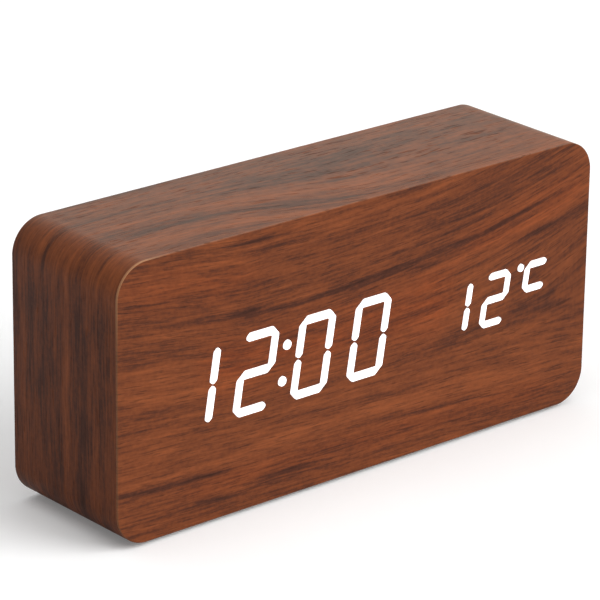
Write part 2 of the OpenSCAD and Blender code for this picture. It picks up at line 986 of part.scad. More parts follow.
module control_plate() {
    flange_w = ctl_w + 2 * ctl_flange;
    flange_h = ctl_h + 2 * ctl_lip;
    color([0.09, 0.09, 0.1])
        difference() {
            union() {
                rounded_slab(ctl_x, mid_z, ctl_w, ctl_h, ctl_r, y_flange, y_back);
                rounded_slab(ctl_x, mid_z, flange_w, flange_h, ctl_r, y_flange, y_panel_in);
            }
            difference() {
                rounded_slab(
                    ctl_x, mid_z, ctl_w - 2 * ctl_wall, ctl_h - 2 * ctl_wall, ctl_r - ctl_wall,
                    y_flange - 1, y_ctl_in
                );
                ctl_posts(y_flange - 2, y_ctl_in + 1);
            }
            for (i = [0:2])
                rod(cap_at(i), cap_z, cap_hole_d, y_ctl_in - 1, y_back + 1);
            brick(
                usb_x, low_z, usb_w + 2 * move_gap, usb_h + 2 * move_gap,
                y_ctl_in - 1, y_back + 1
            );
            rod(mic_x, low_z, mic_hole_d, y_ctl_in - 1, y_back + 1);
            for (s = [-1, 0, 1])
                brick(sense_x, low_z + s * slot_pitch, slot_w, slot_h, y_ctl_in - 1, y_back + 1);
            ctl_posts_at()
                rod(0, 0, small_screw_d, y_flange - 2, y_ctl_in - 1.5);
            translate([ctl_x, 0, mid_z])
                flange_holes(ctl_screw_x);
        }
    color([0.09, 0.09, 0.1])
        difference() {
            ctl_posts(y_ctl_pcb, y_flange);
            ctl_posts_at()
                rod(0, 0, small_screw_d, y_ctl_pcb - 1, y_flange + 1);
        }
}

module ctl_posts_at() {
    for (sx = [-1, 1])
        translate([ctl_x + sx * ctl_post_x, 0, ctl_post_z])
            children();
}

module ctl_posts(y0, y1) {
    ctl_posts_at()
        rod(0, 0, ctl_post_d, y0, y1);
}

module flange_holes(dx) {
    for (sx = [-1, 1])
        rod(sx * dx, 0, small_screw_d, y_flange - 1, y_panel_in + 1);
}

// The four places where the two plastic inserts are screwed to the panel from inside.
module flange_screws_at() {
    for (sx = [-1, 1])
        translate([ctl_x + sx * ctl_screw_x, 0, mid_z])
            children();
    for (sz = [-1, 1])
        translate([box_x, 0, mid_z + sz * box_screw_z])
            children();
}

module control_screws() {
    color([0.75, 0.75, 0.72])
        for (sx = [-1, 1])
            translate([ctl_x + sx * ctl_screw_x, 0, mid_z])
                pan_screw(y_flange, ctl_flange_t + panel_bite, 1);
}

module control_pcb() {
    board_w = ctl_w - 2 * ctl_wall - 4 * move_gap;
    board_h = ctl_h - 2 * ctl_wall - 4 * move_gap;
    color([0.05, 0.3, 0.14])
        difference() {
            brick(ctl_x, mid_z, board_w, board_h, y_rear_board, y_ctl_pcb);
            ctl_posts_at()
                rod(0, 0, small_screw_d, y_rear_board - 1, y_ctl_pcb + 1);
        }
}

module board_screws() {
    color([0.75, 0.75, 0.72])
        ctl_posts_at()
            pan_screw(y_rear_board, ctl_pcb_t + ctl_bite, 1);
}

module switch_bodies() {
    color([0.16, 0.16, 0.17])
        for (i = [0:2])
            difference() {
                union() {
                    brick(cap_at(i), cap_z, switch_w, switch_w, y_ctl_pcb, y_switch);
                    for (sx = [-1, 1], sz = [-1, 1])
                        brick(
                            cap_at(i) + sx * (switch_w + switch_leg_w - 0.2) / 2,
                            cap_z + sz * (switch_w / 2 - switch_leg_h),
                            switch_leg_w, switch_leg_h, y_ctl_pcb, y_ctl_pcb + switch_leg_t
                        );
                }
                rod(cap_at(i), cap_z, plunger_d + 2 * move_gap, y_ctl_pcb + 1.6, y_switch + 1);
            }
}

module plunger(i) {
    rod(cap_at(i), cap_z, plunger_d, y_switch - plunger_root, y_plunger);
}

module set_plunger() {
    color([0.85, 0.83, 0.78])
        plunger(0);
}

module up_plunger() {
    color([0.85, 0.83, 0.78])
        plunger(1);
}

module down_plunger() {
    color([0.85, 0.83, 0.78])
        plunger(2);
}

module cap(i) {
    rod(cap_at(i), cap_z, cap_d, y_cap_lip - eps, y_cap);
    rod(cap_at(i), cap_z, cap_lip_d, y_cap_lip - cap_lip_t, y_cap_lip);
    rod(cap_at(i), cap_z, cap_stem_d, y_plunger, y_cap_lip - cap_lip_t + eps);
}

// A triangle cut in a cap, pointing up or down.
module arrow(i, up) {
    translate([cap_at(i), 0, cap_z])
        slab(y_cap - cap_mark_t, y_cap + 1)
            polygon([[-1.7, -up * 1.1], [1.7, -up * 1.1], [0, up * 1.6]]);
}

module set_button() {
    color([0.14, 0.14, 0.15])
        difference() {
            cap(0);
            difference() {
                rod(cap_at(0), cap_z, 3.6, y_cap - cap_mark_t, y_cap + 1);
                rod(cap_at(0), cap_z, 2.2, y_cap - 1, y_cap + 2);
            }
        }
}

module up_button() {
    color([0.14, 0.14, 0.15])
        difference() {
            cap(1);
            arrow(1, 1);
        }
}

module down_button() {
    color([0.14, 0.14, 0.15])
        difference() {
            cap(2);
            arrow(2, -1);
        }
}

// The socket's mouth: a flat-topped outline with its two lower corners cut.
module usb_outline(grow) {
    w = usb_w / 2 + grow;
    h = usb_h / 2 + grow;
    c = usb_cut;
    polygon([[-w, h], [w, h], [w, c - h], [w - c, -h], [c - w, -h], [-w, c - h]]);
}

module usb_port() {
    color([0.78, 0.78, 0.76])
        translate([usb_x, 0, low_z])
            difference() {
                slab(y_ctl_pcb, y_back - 0.2)
                    usb_outline(0);
                slab(y_ctl_pcb + 1.5, y_back + 1)
                    usb_outline(-usb_wall);
            }
}

module usb_tongue() {
    color([0.1, 0.1, 0.1])
        brick(usb_x, low_z + 0.25, 3.8, 0.7, y_ctl_pcb + 1.5, y_back - 1.2);
}

module microphone() {
    y_mic = y_ctl_in - 0.5;
    color([0.7, 0.7, 0.68])
        difference() {
            union() {
                rod(mic_x, low_z, mic_d, y_mic - mic_h, y_mic);
                for (s = [-1, 1])
                    rod(mic_x + s * mic_leg_x, low_z, lead_d, y_ctl_pcb, y_mic - mic_h + 0.2);
            }
            rod(mic_x, low_z, 2, y_mic - 0.5, y_ctl_in);
        }
}

module thermistor() {
    color([0.12, 0.12, 0.3]) {
        translate([sense_x, y_ctl_pcb + bead_lift, low_z])
            sphere(d = bead_d);
        for (s = [-1, 1])
            rod(sense_x + s * 0.7, low_z, lead_d - 0.1, y_ctl_pcb, y_ctl_pcb + bead_lift - 0.2);
    }
}

// ---------- battery box ----------

module battery_box() {
    outer_w = box_out_w + 2 * box_flange;
    outer_h = box_out_h + 2 * box_flange;
    pin_gap = 2 * (hinge_r + hinge_run);
    color([0.09, 0.09, 0.1])
        difference() {
            union() {
                brick(box_x, mid_z, box_out_w, box_out_h, y_box, y_back);
                brick(box_x, mid_z, outer_w, outer_h, y_panel_in - box_flange_t, y_panel_in);
            }
            brick(box_x, mid_z, well_w, well_h, y_well, y_back + 1);
            brick(box_x, mid_z, hole_w, hole_h, y_ledge, y_back + 1);
            for (sz = [-1, 1])
                translate([box_x, 0, mid_z + sz * box_screw_z])
                    rod(0, 0, small_screw_d, y_panel_in - box_flange_t - 1, y_panel_in + 1);
            translate([hinge_x, hinge_y, mid_z - hole_h / 2 - box_wall - 1])
                cylinder(h = hole_h + 2 * box_wall + 2, d = pin_gap);
        }
}

module box_screws() {
    color([0.75, 0.75, 0.72])
        for (sz = [-1, 1])
            translate([box_x, 0, mid_z + sz * box_screw_z])
                pan_screw(y_panel_in - box_flange_t, box_flange_t + panel_bite, 1);
}

// The door turns on two stub pins at its right-hand end, whose edge is rounded about them.
module battery_door() {
    left = box_x - door_w / 2;
    color([0.1, 0.1, 0.11])
        difference() {
            union() {
                translate([left, y_back - door_t, mid_z - door_h / 2])
                    cube([hinge_x - left, door_t, door_h]);
                translate([hinge_x, hinge_y, mid_z - door_h / 2])
                    cylinder(h = door_h, d = door_t);
                translate([hinge_x, hinge_y, mid_z - hole_h / 2 - box_wall + 0.2])
                    cylinder(h = hole_h + 2 * box_wall - 0.4, r = hinge_r);
            }
            translate([left - 1, y_back, mid_z])
                rotate([90, 0, 0])
                    cylinder(h = 1, d = scoop_d);
            for (i = [0:4])
                brick(
                    left + grip_x + i * grip_pitch, mid_z, grip_w, grip_len,
                    y_back - grip_t, y_back + 1
                );
        }
}

// A cell with its button at the end that way points to.
module cell(row, way) {
    translate([way > 0 ? well_right - plate_t : well_left + plate_t, y_cell, mid_z + row * cell_pitch])
        rotate([0, way > 0 ? -90 : 90, 0]) {
            cylinder(h = button_h + eps, d = button_d);
            translate([0, 0, button_h])
                cylinder(h = cell_len - button_h, d = cell_d);
        }
}

module cell_top() {
    color([0.85, 0.55, 0.15])
        cell(1, 1);
}

module cell_middle() {
    color([0.85, 0.55, 0.15])
        cell(0, -1);
}

module cell_bottom() {
    color([0.85, 0.55, 0.15])
        cell(-1, 1);
}

// A pressed spring: rings that widen towards the plate, joined by two short bars.
module cell_spring(row, way) {
    length = spring_len + 0.3;
    step = (length - spring_wire) / (spring_turns - 1);
    r_mid = spring_r - 0.35;
    base = way > 0 ? well_left + plate_t : well_right - plate_t;
    translate([base, y_cell, mid_z + row * cell_pitch])
        rotate([0, way > 0 ? 90 : -90, 0]) {
            for (i = [0:spring_turns - 1])
                translate([0, 0, spring_wire / 2 + i * step])
                    rotate_extrude()
                        translate([spring_r - i * spring_taper, 0])
                            circle(d = spring_wire, $fn = 16);
            for (s = [-1, 1])
                translate([s * r_mid - 0.35, -0.25, 0.3])
                    cube([0.7, 0.5, spring_len - 0.3]);
        }
}

module cell_springs() {
    color([0.8, 0.8, 0.78]) {
        cell_spring(1, 1);
        cell_spring(0, -1);
        cell_spring(-1, 1);
    }
}

module contact_plate(end, row, rows) {
    x = end > 0 ? well_right - plate_t / 2 : well_left + plate_t / 2;
    h = plate_w + (rows - 1) * cell_pitch;
    brick(x, mid_z + row * cell_pitch, plate_t, h, y_well, y_well + plate_h);
}

module cell_contacts() {
    color([0.8, 0.8, 0.78]) {
        contact_plate(1, 1, 1);
        contact_plate(-1, 0.5, 2);
        contact_plate(1, -0.5, 2);
        contact_plate(-1, -1, 1);
    }
}

// ---------- supply wires ----------

// A wire that leaves the battery box at x0, runs along X in front of it, and drops to the
// board at x1.
module wire(x0, z, x1) {
    y_run = y_box - 1.6;
    end_d = wire_d - 0.2;
    rod(x0, z, end_d, y_run, y_box);
    translate([min(x0, x1) - wire_d, y_run, z])
        rotate([0, 90, 0])
            cylinder(h = abs(x1 - x0) + 2 * wire_d, d = wire_d);
    rod(x1, z, end_d, y_pcb, y_run);
}

module red_wire() {
    color([0.75, 0.08, 0.06])
        wire(well_right + wire_out, mid_z + cell_pitch + 1, red_end_x);
}

module black_wire() {
    color([0.06, 0.06, 0.06])
        wire(well_left - wire_out, mid_z - cell_pitch - 1, black_end_x);
}

case_ring();
corner_blocks();
front_board();
face_veneer();
band_veneer();
rear_panel();
rear_veneer();
panel_screws();
foot_pads();
mask_film();
hour_segments();
colon_dots();
minute_segments();
temperature_segments();
degree_mark();
reflector_block();
display_pcb();
display_screws();
segment_leds();
microcontroller();
led_driver();
clock_chip();
crystal();
coin_cell_holder();
coin_cell();
buzzer();
capacitors();
resistors();
ribbon_sockets();
ribbon_cable();
control_plate();
control_screws();
control_pcb();
board_screws();
switch_bodies();
set_plunger();
up_plunger();
down_plunger();
set_button();
up_button();
down_button();
usb_port();
usb_tongue();
microphone();
thermistor();
battery_box();
box_screws();
battery_door();
cell_top();
cell_middle();
cell_bottom();
cell_springs();
cell_contacts();
red_wire();
black_wire();
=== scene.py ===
"""A bedside alarm clock in a walnut-veneered block, dressed piece by piece.

Every piece is in metres: X to the right, Z up, the face looks towards -Y, and the
origin is on the table under the middle of the block.
"""

import math

import bpy
import numpy as np
from mathutils import Matrix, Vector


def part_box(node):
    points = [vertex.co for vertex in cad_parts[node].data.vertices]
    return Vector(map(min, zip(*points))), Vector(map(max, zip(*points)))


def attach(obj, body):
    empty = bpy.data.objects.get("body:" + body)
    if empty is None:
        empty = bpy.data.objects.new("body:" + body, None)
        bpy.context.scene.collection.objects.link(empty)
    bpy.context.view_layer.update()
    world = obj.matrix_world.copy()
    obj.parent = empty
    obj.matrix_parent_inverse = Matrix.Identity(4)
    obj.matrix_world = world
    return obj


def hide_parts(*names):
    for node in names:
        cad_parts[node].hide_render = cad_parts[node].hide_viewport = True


bl_info = {
    "name": "Walnut Alarm Clock",
    "version": (1, 0, 0),
    "blender": (4, 5, 0),
    "location": "View3D > Sidebar > Alarm Clock",
    "description": "Dresses a wooden alarm clock with veneer, lit figures, controls and works",
    "category": "Object",
}

MM = 0.001

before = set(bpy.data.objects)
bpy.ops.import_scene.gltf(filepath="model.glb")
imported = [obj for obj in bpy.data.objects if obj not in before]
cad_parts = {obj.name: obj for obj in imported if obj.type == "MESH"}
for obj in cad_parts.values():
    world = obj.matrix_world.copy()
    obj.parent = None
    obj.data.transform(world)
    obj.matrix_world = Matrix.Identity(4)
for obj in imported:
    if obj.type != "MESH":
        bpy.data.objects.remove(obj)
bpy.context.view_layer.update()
CASE = "case"


# ---------------------------------------------------------------------------
# Sizes read from the frame
# ---------------------------------------------------------------------------


def middle(node):
    """The middle of a node's box."""
    low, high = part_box(node)
    return (low + high) / 2


BAND_LOW, BAND_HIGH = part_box("band_veneer")
BLOCK_MID_Z = (BAND_LOW.z + BAND_HIGH.z) / 2
BLOCK_W = BAND_HIGH.x - BAND_LOW.x
BLOCK_H = BAND_HIGH.z - BAND_LOW.z
BACK_Y = BAND_HIGH.y
VENEER = BACK_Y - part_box("rear_veneer")[0].y
PANEL_GAP = 0.25 * MM  # round the let-in back
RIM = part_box("rear_veneer")[0].x - BAND_LOW.x - PANEL_GAP


# ---------------------------------------------------------------------------
# Settings a user would change
# ---------------------------------------------------------------------------


def colour_setting(name, description, default):
    return bpy.props.FloatVectorProperty(
        name=name, description=description, default=default, size=3, min=0, max=1, subtype="COLOR"
    )


def length_setting(name, description, default, low, high):
    return bpy.props.FloatProperty(
        name=name, description=description, default=default, min=low, max=high,
        precision=5, unit="LENGTH", subtype="DISTANCE",
    )


def factor_setting(name, description, default, high):
    return bpy.props.FloatProperty(
        name=name, description=description, default=default, min=0, max=high, subtype="FACTOR"
    )


class ClockVeneerSettings(bpy.types.PropertyGroup):
    """Wood of the block."""

    dark: colour_setting("Dark grain", "Colour of the late wood", (0.078, 0.024, 0.0125))
    plain: colour_setting("Plain wood", "Colour of most of the wood", (0.175, 0.047, 0.016))
    light: colour_setting("Light grain", "Colour of the palest streaks", (0.258, 0.070, 0.022))
    edge: colour_setting("Veneer edge", "Colour of the bare edge of a sheet", (0.40, 0.19, 0.09))
    corner_radius: length_setting(
        "Edge radius", "Radius of the four long edges", 8.5 * MM, 5 * MM, 14 * MM
    )
    arris: length_setting("Back arris", "Rounding of the back edge", 0.35 * MM, 0.1 * MM, 1 * MM)


class ClockDisplaySettings(bpy.types.PropertyGroup):
    """Light of the figures."""

    glow: colour_setting("Glow", "Colour of a lit bar", (1.0, 1.0, 1.0))
    strength: factor_setting("Strength", "How bright a lit bar is", 1.0, 10.0)
    # The film colour also tints the film's painted glow.
    film: colour_setting("Film", "Colour of the film round a lit bar", (0.12, 0.020, 0.009))


class ClockPlasticSettings(bpy.types.PropertyGroup):
    """Moulded pieces and wires."""

    black: colour_setting("Black plastic", "Colour of the moulded pieces", (0.018, 0.018, 0.020))
    button: colour_setting("Buttons", "Colour of the button caps", (0.030, 0.030, 0.033))
    mask: colour_setting("Board", "Colour of the circuit boards", (0.010, 0.085, 0.035))
    label: colour_setting("Cell sleeve", "Colour of the cells' sleeve", (0.55, 0.24, 0.035))


class ClockStageSettings(bpy.types.PropertyGroup):
    """Floor, lamps and camera."""

    floor: colour_setting("Floor", "Colour of the floor", (0.94, 0.94, 0.94))
    key: factor_setting("Key light", "Strength of the main lamp", 2.6, 20.0)
    top: factor_setting("Top light", "Strength of the lamp overhead", 0.9, 20.0)
    sky: factor_setting("Surroundings", "Light from the white surroundings", 0.35, 3.0)
    sheen: factor_setting("Sheen", "How bright the surroundings look in a polish", 1.12, 3.0)


class ClockSettings(bpy.types.PropertyGroup):
    """Every group of settings."""

    veneer: bpy.props.PointerProperty(type=ClockVeneerSettings)
    display: bpy.props.PointerProperty(type=ClockDisplaySettings)
    plastic: bpy.props.PointerProperty(type=ClockPlasticSettings)
    stage: bpy.props.PointerProperty(type=ClockStageSettings)


def settings():
    return bpy.context.scene.clock


# ---------------------------------------------------------------------------
# Node drawing
# ---------------------------------------------------------------------------


class Bench:
    """Adds nodes to one tree. A value given to a socket is a number, a colour or another
    node's output."""

    def __init__(self, tree):
        self.tree = tree

    def put(self, kind, values=None, **keys):
        node = self.tree.nodes.new("ShaderNode" + kind)
        for key, value in keys.items():
            setattr(node, key, value)
        return self.fill(node, values or {})

    def fill(self, node, values):
        for key, value in values.items():
            self.set(node.inputs[key], value)
        return node

    def set(self, socket, value):
        if isinstance(value, bpy.types.NodeSocket):
            self.tree.links.new(value, socket)
        elif socket.type == "RGBA" and len(value) == 3:
            socket.default_value = (*value, 1)
        else:
            socket.default_value = value

    def maths(self, what, *values, clamp=False):
        node = self.put("Math", operation=what, use_clamp=clamp)
        for socket, value in zip(node.inputs, values):
            self.set(socket, value)
        return node.outputs[0]

    def add(self, a, b):
        return self.maths("ADD", a, b)

    def less(self, a, b):
        return self.maths("SUBTRACT", a, b)

    def times(self, a, b):
        return self.maths("MULTIPLY", a, b)

    def between(self, value, low, high):
        """1 where a value lies above low and below high."""
        return self.times(
            self.maths("GREATER_THAN", value, low), self.maths("LESS_THAN", value, high)
        )

    def parts(self, vector):
        return self.put("SeparateXYZ", {"Vector": vector}).outputs

    def vector(self, x=0.0, y=0.0, z=0.0):
        return self.put("CombineXYZ", {"X": x, "Y": y, "Z": z}).outputs[0]

    def noise(self, vector, scale, detail=2.0, rough=0.5):
        values = {"Vector": vector, "Scale": scale, "Detail": detail, "Roughness": rough}
        return self.put("TexNoise", values).outputs[0]

    def stretch(self, value, low, high, to_low=0.0, to_high=1.0, smooth=False):
        values = {
            "Value": value, "From Min": low, "From Max": high, "To Min": to_low, "To Max": to_high
        }
        shape = "SMOOTHSTEP" if smooth else "LINEAR"
        return self.put("MapRange", values, interpolation_type=shape).outputs[0]

    def blend(self, share, a, b, how="MIX"):
        node = self.put("Mix", {"Factor": share}, data_type="RGBA", blend_type=how)
        colours = [socket for socket in node.inputs if socket.type == "RGBA"]
        for socket, value in zip(colours, (a, b)):
            self.set(socket, value)
        return [socket for socket in node.outputs if socket.type == "RGBA"][0]

    def ramp(self, value, stops):
        node = self.put("ValToRGB", {"Fac": value})
        ramp = node.color_ramp
        while len(ramp.elements) > 1:
            ramp.elements.remove(ramp.elements[-1])
        ramp.elements[0].position, ramp.elements[0].color = stops[0][0], (*stops[0][1], 1)
        for place, colour in stops[1:]:
            ramp.elements.new(place).color = (*colour, 1)
        return node.outputs[0]

    def bump(self, height, distance, strength):
        values = {"Height": height, "Distance": distance, "Strength": strength}
        return self.put("Bump", values).outputs[0]

    def group(self, name, values):
        return self.put("Group", values, node_tree=group(name)).outputs


def new_group(name, inputs, outputs):
    """An empty node group with named sockets. Each input is (name, kind, default)."""
    tree = bpy.data.node_groups.new(name, "ShaderNodeTree")
    for label, kind, default in inputs:
        socket = tree.interface.new_socket(label, in_out="INPUT", socket_type="NodeSocket" + kind)
        if default is not None:
            socket.default_value = default
    for label, kind in outputs:
        tree.interface.new_socket(label, in_out="OUTPUT", socket_type="NodeSocket" + kind)
    given = tree.nodes.new("NodeGroupInput").outputs
    return tree, Bench(tree), given, tree.nodes.new("NodeGroupOutput").inputs


GROUPS = {}


def group(name):
    """A shared node group, drawn the first time it is asked for."""
    if name not in GROUPS:
        GROUPS[name] = GROUP_MAKERS[name](name)
    return GROUPS[name]


def wood_grain_group(name):
    """Grain of sliced walnut. The place is in metres, X along the grain and Y across it. The
    place is pushed about by slow noise, then broad bands, lines and hair lines are read from
    noise drawn out along the grain, and pores are its rare peaks."""
    tree, b, given, out = new_group(
        name,
        [("Place", "Vector", None), ("Seed", "Float", 0.0), ("Waviness", "Float", 1.0)],
        [("Tone", "Float"), ("Pores", "Float"), ("Height", "Float"), ("Flow", "Vector")],
    )
    along, across, _ = b.parts(given["Place"])
    seed = given["Seed"]

    def drawn(a_scale, c_scale, where, shift, detail, rough=0.55):
        """Noise about zero, with so many cells a metre along and across. Each shift and each
        seed reads its own slice of the noise."""
        place = b.vector(
            b.times(along, a_scale), b.times(where, c_scale), b.add(b.times(seed, 3.17), shift)
        )
        return b.less(b.noise(place, 1.0, detail, rough), 0.5)

    slow = b.times(drawn(11, 34, across, 1.0, 1.0), b.times(given["Waviness"], 0.010))
    flow = b.add(across, slow)
    wiggle = b.times(drawn(42, 130, across, 5.0, 1.0), b.times(given["Waviness"], 0.0022))
    flow = b.add(flow, wiggle)
    bands = drawn(5, 88, flow, 9.0, 2.0)
    lines = drawn(19, 400, flow, 13.0, 4.0, 0.66)
    hairs = drawn(110, 1700, flow, 17.0, 2.0)
    tone = b.add(b.add(b.times(bands, 0.6), b.times(lines, 0.8)), b.times(hairs, 0.75))
    pores = b.stretch(drawn(190, 2900, flow, 23.0, 1.0), 0.09, 0.19)
    cloud = drawn(70, 160, across, 29.0, 2.0)
    fleck = drawn(900, 1300, across, 31.0, 2.0)
    mottle = b.add(b.times(cloud, 0.25), b.times(fleck, 0.35))
    b.set(out["Tone"], b.add(b.add(tone, mottle), 0.5))
    b.set(out["Pores"], pores)
    raised = b.times(b.add(hairs, b.times(lines, 0.5)), 0.6)
    b.set(out["Height"], b.less(raised, b.times(pores, 0.7)))
    b.set(out["Flow"], b.vector(along, flow, 0.0))
    return tree


def wood_streak_group(name):
    """One streak of colour: 1 along the line where the flowing place crosses At, falling off
    as a bell over Width, between Start and End with soft ends."""
    tree, b, given, out = new_group(
        name,
        [
            ("Flow", "Vector", None), ("At", "Float", 0.0), ("Width", "Float", 0.001),
            ("Start", "Float", -1.0), ("End", "Float", 1.0), ("Fade", "Float", 0.01),
            ("Break", "Float", 0.5),
        ],
        [("Mask", "Float")],
    )
    along, across, _ = b.parts(given["Flow"])
    off = b.maths("DIVIDE", b.less(across, given["At"]), given["Width"])
    bell = b.maths("EXPONENT", b.times(b.times(off, off), -1.0))
    start = b.maths("DIVIDE", b.less(along, given["Start"]), given["Fade"], clamp=True)
    end = b.maths("DIVIDE", b.less(given["End"], along), given["Fade"], clamp=True)
    place = b.vector(b.times(along, 60.0), b.times(across, 500.0), given["At"])
    broken = b.stretch(b.noise(place, 1.0, 2.0), 0.35, 0.60, b.less(1.0, given["Break"]), 1.0)
    b.set(out["Mask"], b.times(b.times(bell, broken), b.times(start, end)))
    return tree


def edge_wear_group(name):
    """1 on faces that are turned away from a plain direction, such as a sheet's cut edge."""
    tree, b, given, out = new_group(
        name,
        [("Normal", "Vector", None), ("Plain", "Vector", (0, -1, 0)), ("Spread", "Float", 0.04)],
        [("Mask", "Float")],
    )
    dot = b.put("VectorMath", {0: given["Normal"], 1: given["Plain"]}, operation="DOT_PRODUCT")
    turned = b.less(1.0, dot.outputs["Value"])
    b.set(out["Mask"], b.maths("DIVIDE", turned, given["Spread"], clamp=True))
    return tree


def moulded_group(name):
    """Spark-eroded texture of a moulding: fine even bumps, with slow patches of shine."""
    tree, b, given, out = new_group(
        name,
        [("Place", "Vector", None), ("Grain", "Float", 0.0003)],
        [("Height", "Float"), ("Patch", "Float"), ("Dust", "Float")],
    )
    size = b.maths("DIVIDE", 1.0, given["Grain"])
    b.set(out["Height"], b.noise(given["Place"], size, 3.0, 0.6))
    b.set(out["Patch"], b.noise(given["Place"], 90.0, 3.0))
    b.set(out["Dust"], b.stretch(b.noise(given["Place"], 2600.0, 1.0), 0.70, 0.76))
    return tree


def brushed_group(name):
    """Fine scratches of rolled or drawn metal, long in X and short in Y and Z."""
    tree, b, given, out = new_group(
        name,
        [("Place", "Vector", None), ("Fine", "Float", 1.0)],
        [("Scratch", "Float"), ("Patch", "Float")],
    )
    x, y, z = b.parts(given["Place"])
    place = b.vector(b.times(x, 220.0), b.times(y, 5200.0), b.times(z, 5200.0))
    b.set(out["Scratch"], b.noise(place, given["Fine"], 2.0))
    b.set(out["Patch"], b.noise(given["Place"], 300.0, 3.0))
    return tree


GROUP_MAKERS = {
    "Walnut Grain": wood_grain_group,
    "Wood Streak": wood_streak_group,
    "Edge Wear": edge_wear_group,
    "Moulded Texture": moulded_group,
    "Brushed Metal": brushed_group,
}


def scaled(colour, times, plus=0.0):
    """A colour made paler or darker, held at 1."""
    return tuple(min(c * times + plus, 1) for c in colour)


def new_material(name):
    """A material with its bench, its shader and its object coordinates."""
    material = bpy.data.materials.new(name)
    material.use_nodes = True
    bench = Bench(material.node_tree)
    shader = material.node_tree.nodes["Principled BSDF"]
    coordinates = bench.put("TexCoord").outputs
    return material, bench, shader, coordinates


# ---------------------------------------------------------------------------
# Veneer
# ---------------------------------------------------------------------------


def streaks(bench, flow, table):
    """The sum of several streaks. Each row is position, width, start, end and strength, in
    millimetres but for the strength."""
    total = None
    for row in table:
        at, width, start, end = (value * MM for value in row[:4])
        values = {"Flow": flow, "At": at, "Width": width, "Start": start, "End": end}
        share = bench.times(bench.group("Wood Streak", values)["Mask"], row[4])
        total = share if total is None else bench.add(total, share)
    return total


def walnut(b, shader, place, seed, waviness, table, edge=None, shift=0.0, pored=0.45, warm=()):
    """Joins grain, streaks and pores to the shader. The tone picks a colour from dark to
    light, streaks push the tone, pores darken it and sink, and warm streaks redden it."""
    wood = settings().veneer
    grain = b.group("Walnut Grain", {"Place": place, "Seed": seed, "Waviness": waviness})
    tone = b.add(grain["Tone"], b.add(streaks(b, grain["Flow"], table), shift))
    darkest = scaled(wood.dark, 0.55)
    palest = scaled(wood.light, 1.2)
    shades = [(0.0, darkest), (0.24, wood.dark), (0.50, wood.plain), (0.76, wood.light)]
    colour = b.ramp(tone, [*shades, (1.0, palest)])
    if warm:
        colour = b.blend(streaks(b, grain["Flow"], warm), colour, WARM_TINT, how="MULTIPLY")
    colour = b.blend(b.times(grain["Pores"], pored), colour, darkest)
    if edge is not None:
        colour = b.blend(edge, colour, tuple(wood.edge))
    b.fill(shader, {
        "Base Color": colour,
        "Roughness": b.add(0.40, b.times(grain["Pores"], 0.2)),
        "Specular IOR Level": 0.15,
        "Normal": b.bump(grain["Height"], 0.05 * MM, 0.55),
    })


# Grain of the face: the knot's place and size, measured from the middle of the block
KNOT_X, KNOT_Z = -36.5 * MM, 14.6 * MM
KNOT_W, KNOT_H = 4.2 * MM, 1.9 * MM
DIP_X = -37 * MM
DIP_ROUND = 9 * MM
SWEEP_LOW, SWEEP_HIGH = -20 * MM, 14 * MM
WARM_TINT = (1.22, 0.97, 0.76)


def face_flow(b, x, z):
    """Place on the face sheet, bent so that the grain dips to a knot left of the middle and
    sweeps up to the right. x and z are measured from the middle of the block. The way from the
    dip is rounded off near it: sqrt(off^2 + r^2) - r. The sweep is 0.06 right + 8 right^3."""
    off = b.less(x, DIP_X)
    far = b.less(b.maths("SQRT", b.add(b.times(off, off), DIP_ROUND ** 2)), DIP_ROUND)
    right = b.maths("MAXIMUM", b.times(b.add(far, off), 0.5), 0.0)
    left = b.maths("MAXIMUM", b.times(b.less(far, off), 0.5), 0.0)
    upper = b.stretch(z, SWEEP_LOW, SWEEP_HIGH, smooth=True)
    sweep = b.add(b.times(right, 0.06), b.times(b.maths("POWER", right, 3.0), 8.0))
    dip = b.times(left, b.times(upper, 0.10))
    bent = b.add(b.times(sweep, upper), b.less(dip, b.times(x, 0.035)))
    return b.vector(x, b.less(z, bent), 0.0)


FACE_STREAKS = [
    # position, width, start, end, strength
    (12.6, 0.8, -38, 72, -0.34),
    (10.2, 0.6, 10, 70, -0.20),
    (16.5, 0.7, -6, 50, -0.22),
    (19.0, 0.8, 20, 72, -0.24),
    (14.2, 1.5, -33, -8, 0.20),
    (5.2, 0.8, 22, 72, -0.24),
    (8.0, 1.8, 18, 66, 0.12),
    (17.6, 2.2, -74, -42, 0.06),
    (-4.0, 2.0, -74, -8, 0.10),
    (3.0, 8.0, 4, 56, 0.10),
    (7.0, 9.0, -80, -52, -0.06),
    (30.5, 0.6, -50, -20, -0.36),
    (28.0, 0.5, -38, -10, -0.20),
    (-9.4, 0.6, 43, 51, -0.36),
    (-15.6, 0.8, 62, 74, -0.36),
    (-16.0, 0.6, -32, -20, -0.34),
    (-18.2, 0.6, -16, -2, -0.34),
    (-20.4, 1.2, -40, 60, 0.16),
    (-24.4, 0.6, -75, -36, -0.38),
    (-22.9, 1.0, -75, -34, 0.12),
    (-29.4, 0.7, -34, -8, -0.30),
    (-31.5, 0.8, -70, -36, -0.24),
    (-24.0, 0.7, 2, 44, -0.22),
]


FACE_WARMTH = [
    # position, width, start, end, strength
    (1.5, 7.5, -54, 34, 0.75),
    (10.5, 6.0, 26, 80, 0.45),
    (22.0, 5.0, -80, -30, 0.35),
    (-27.0, 3.0, -60, 70, 0.30),
]


def knot_shadow(b, x, z):
    """A soft dark smudge beside the dip in the grain: exp(-(u^2 + v^2))."""
    across = b.maths("DIVIDE", b.less(x, KNOT_X), KNOT_W)
    up = b.maths("DIVIDE", b.less(z, KNOT_Z), KNOT_H)
    far = b.add(b.times(across, across), b.times(up, up))
    return b.maths("EXPONENT", b.times(far, -1.0))


REAR_STREAKS = [
    # position, width, start, end, strength
    (30, 1.2, -60, 40, -0.2),
]


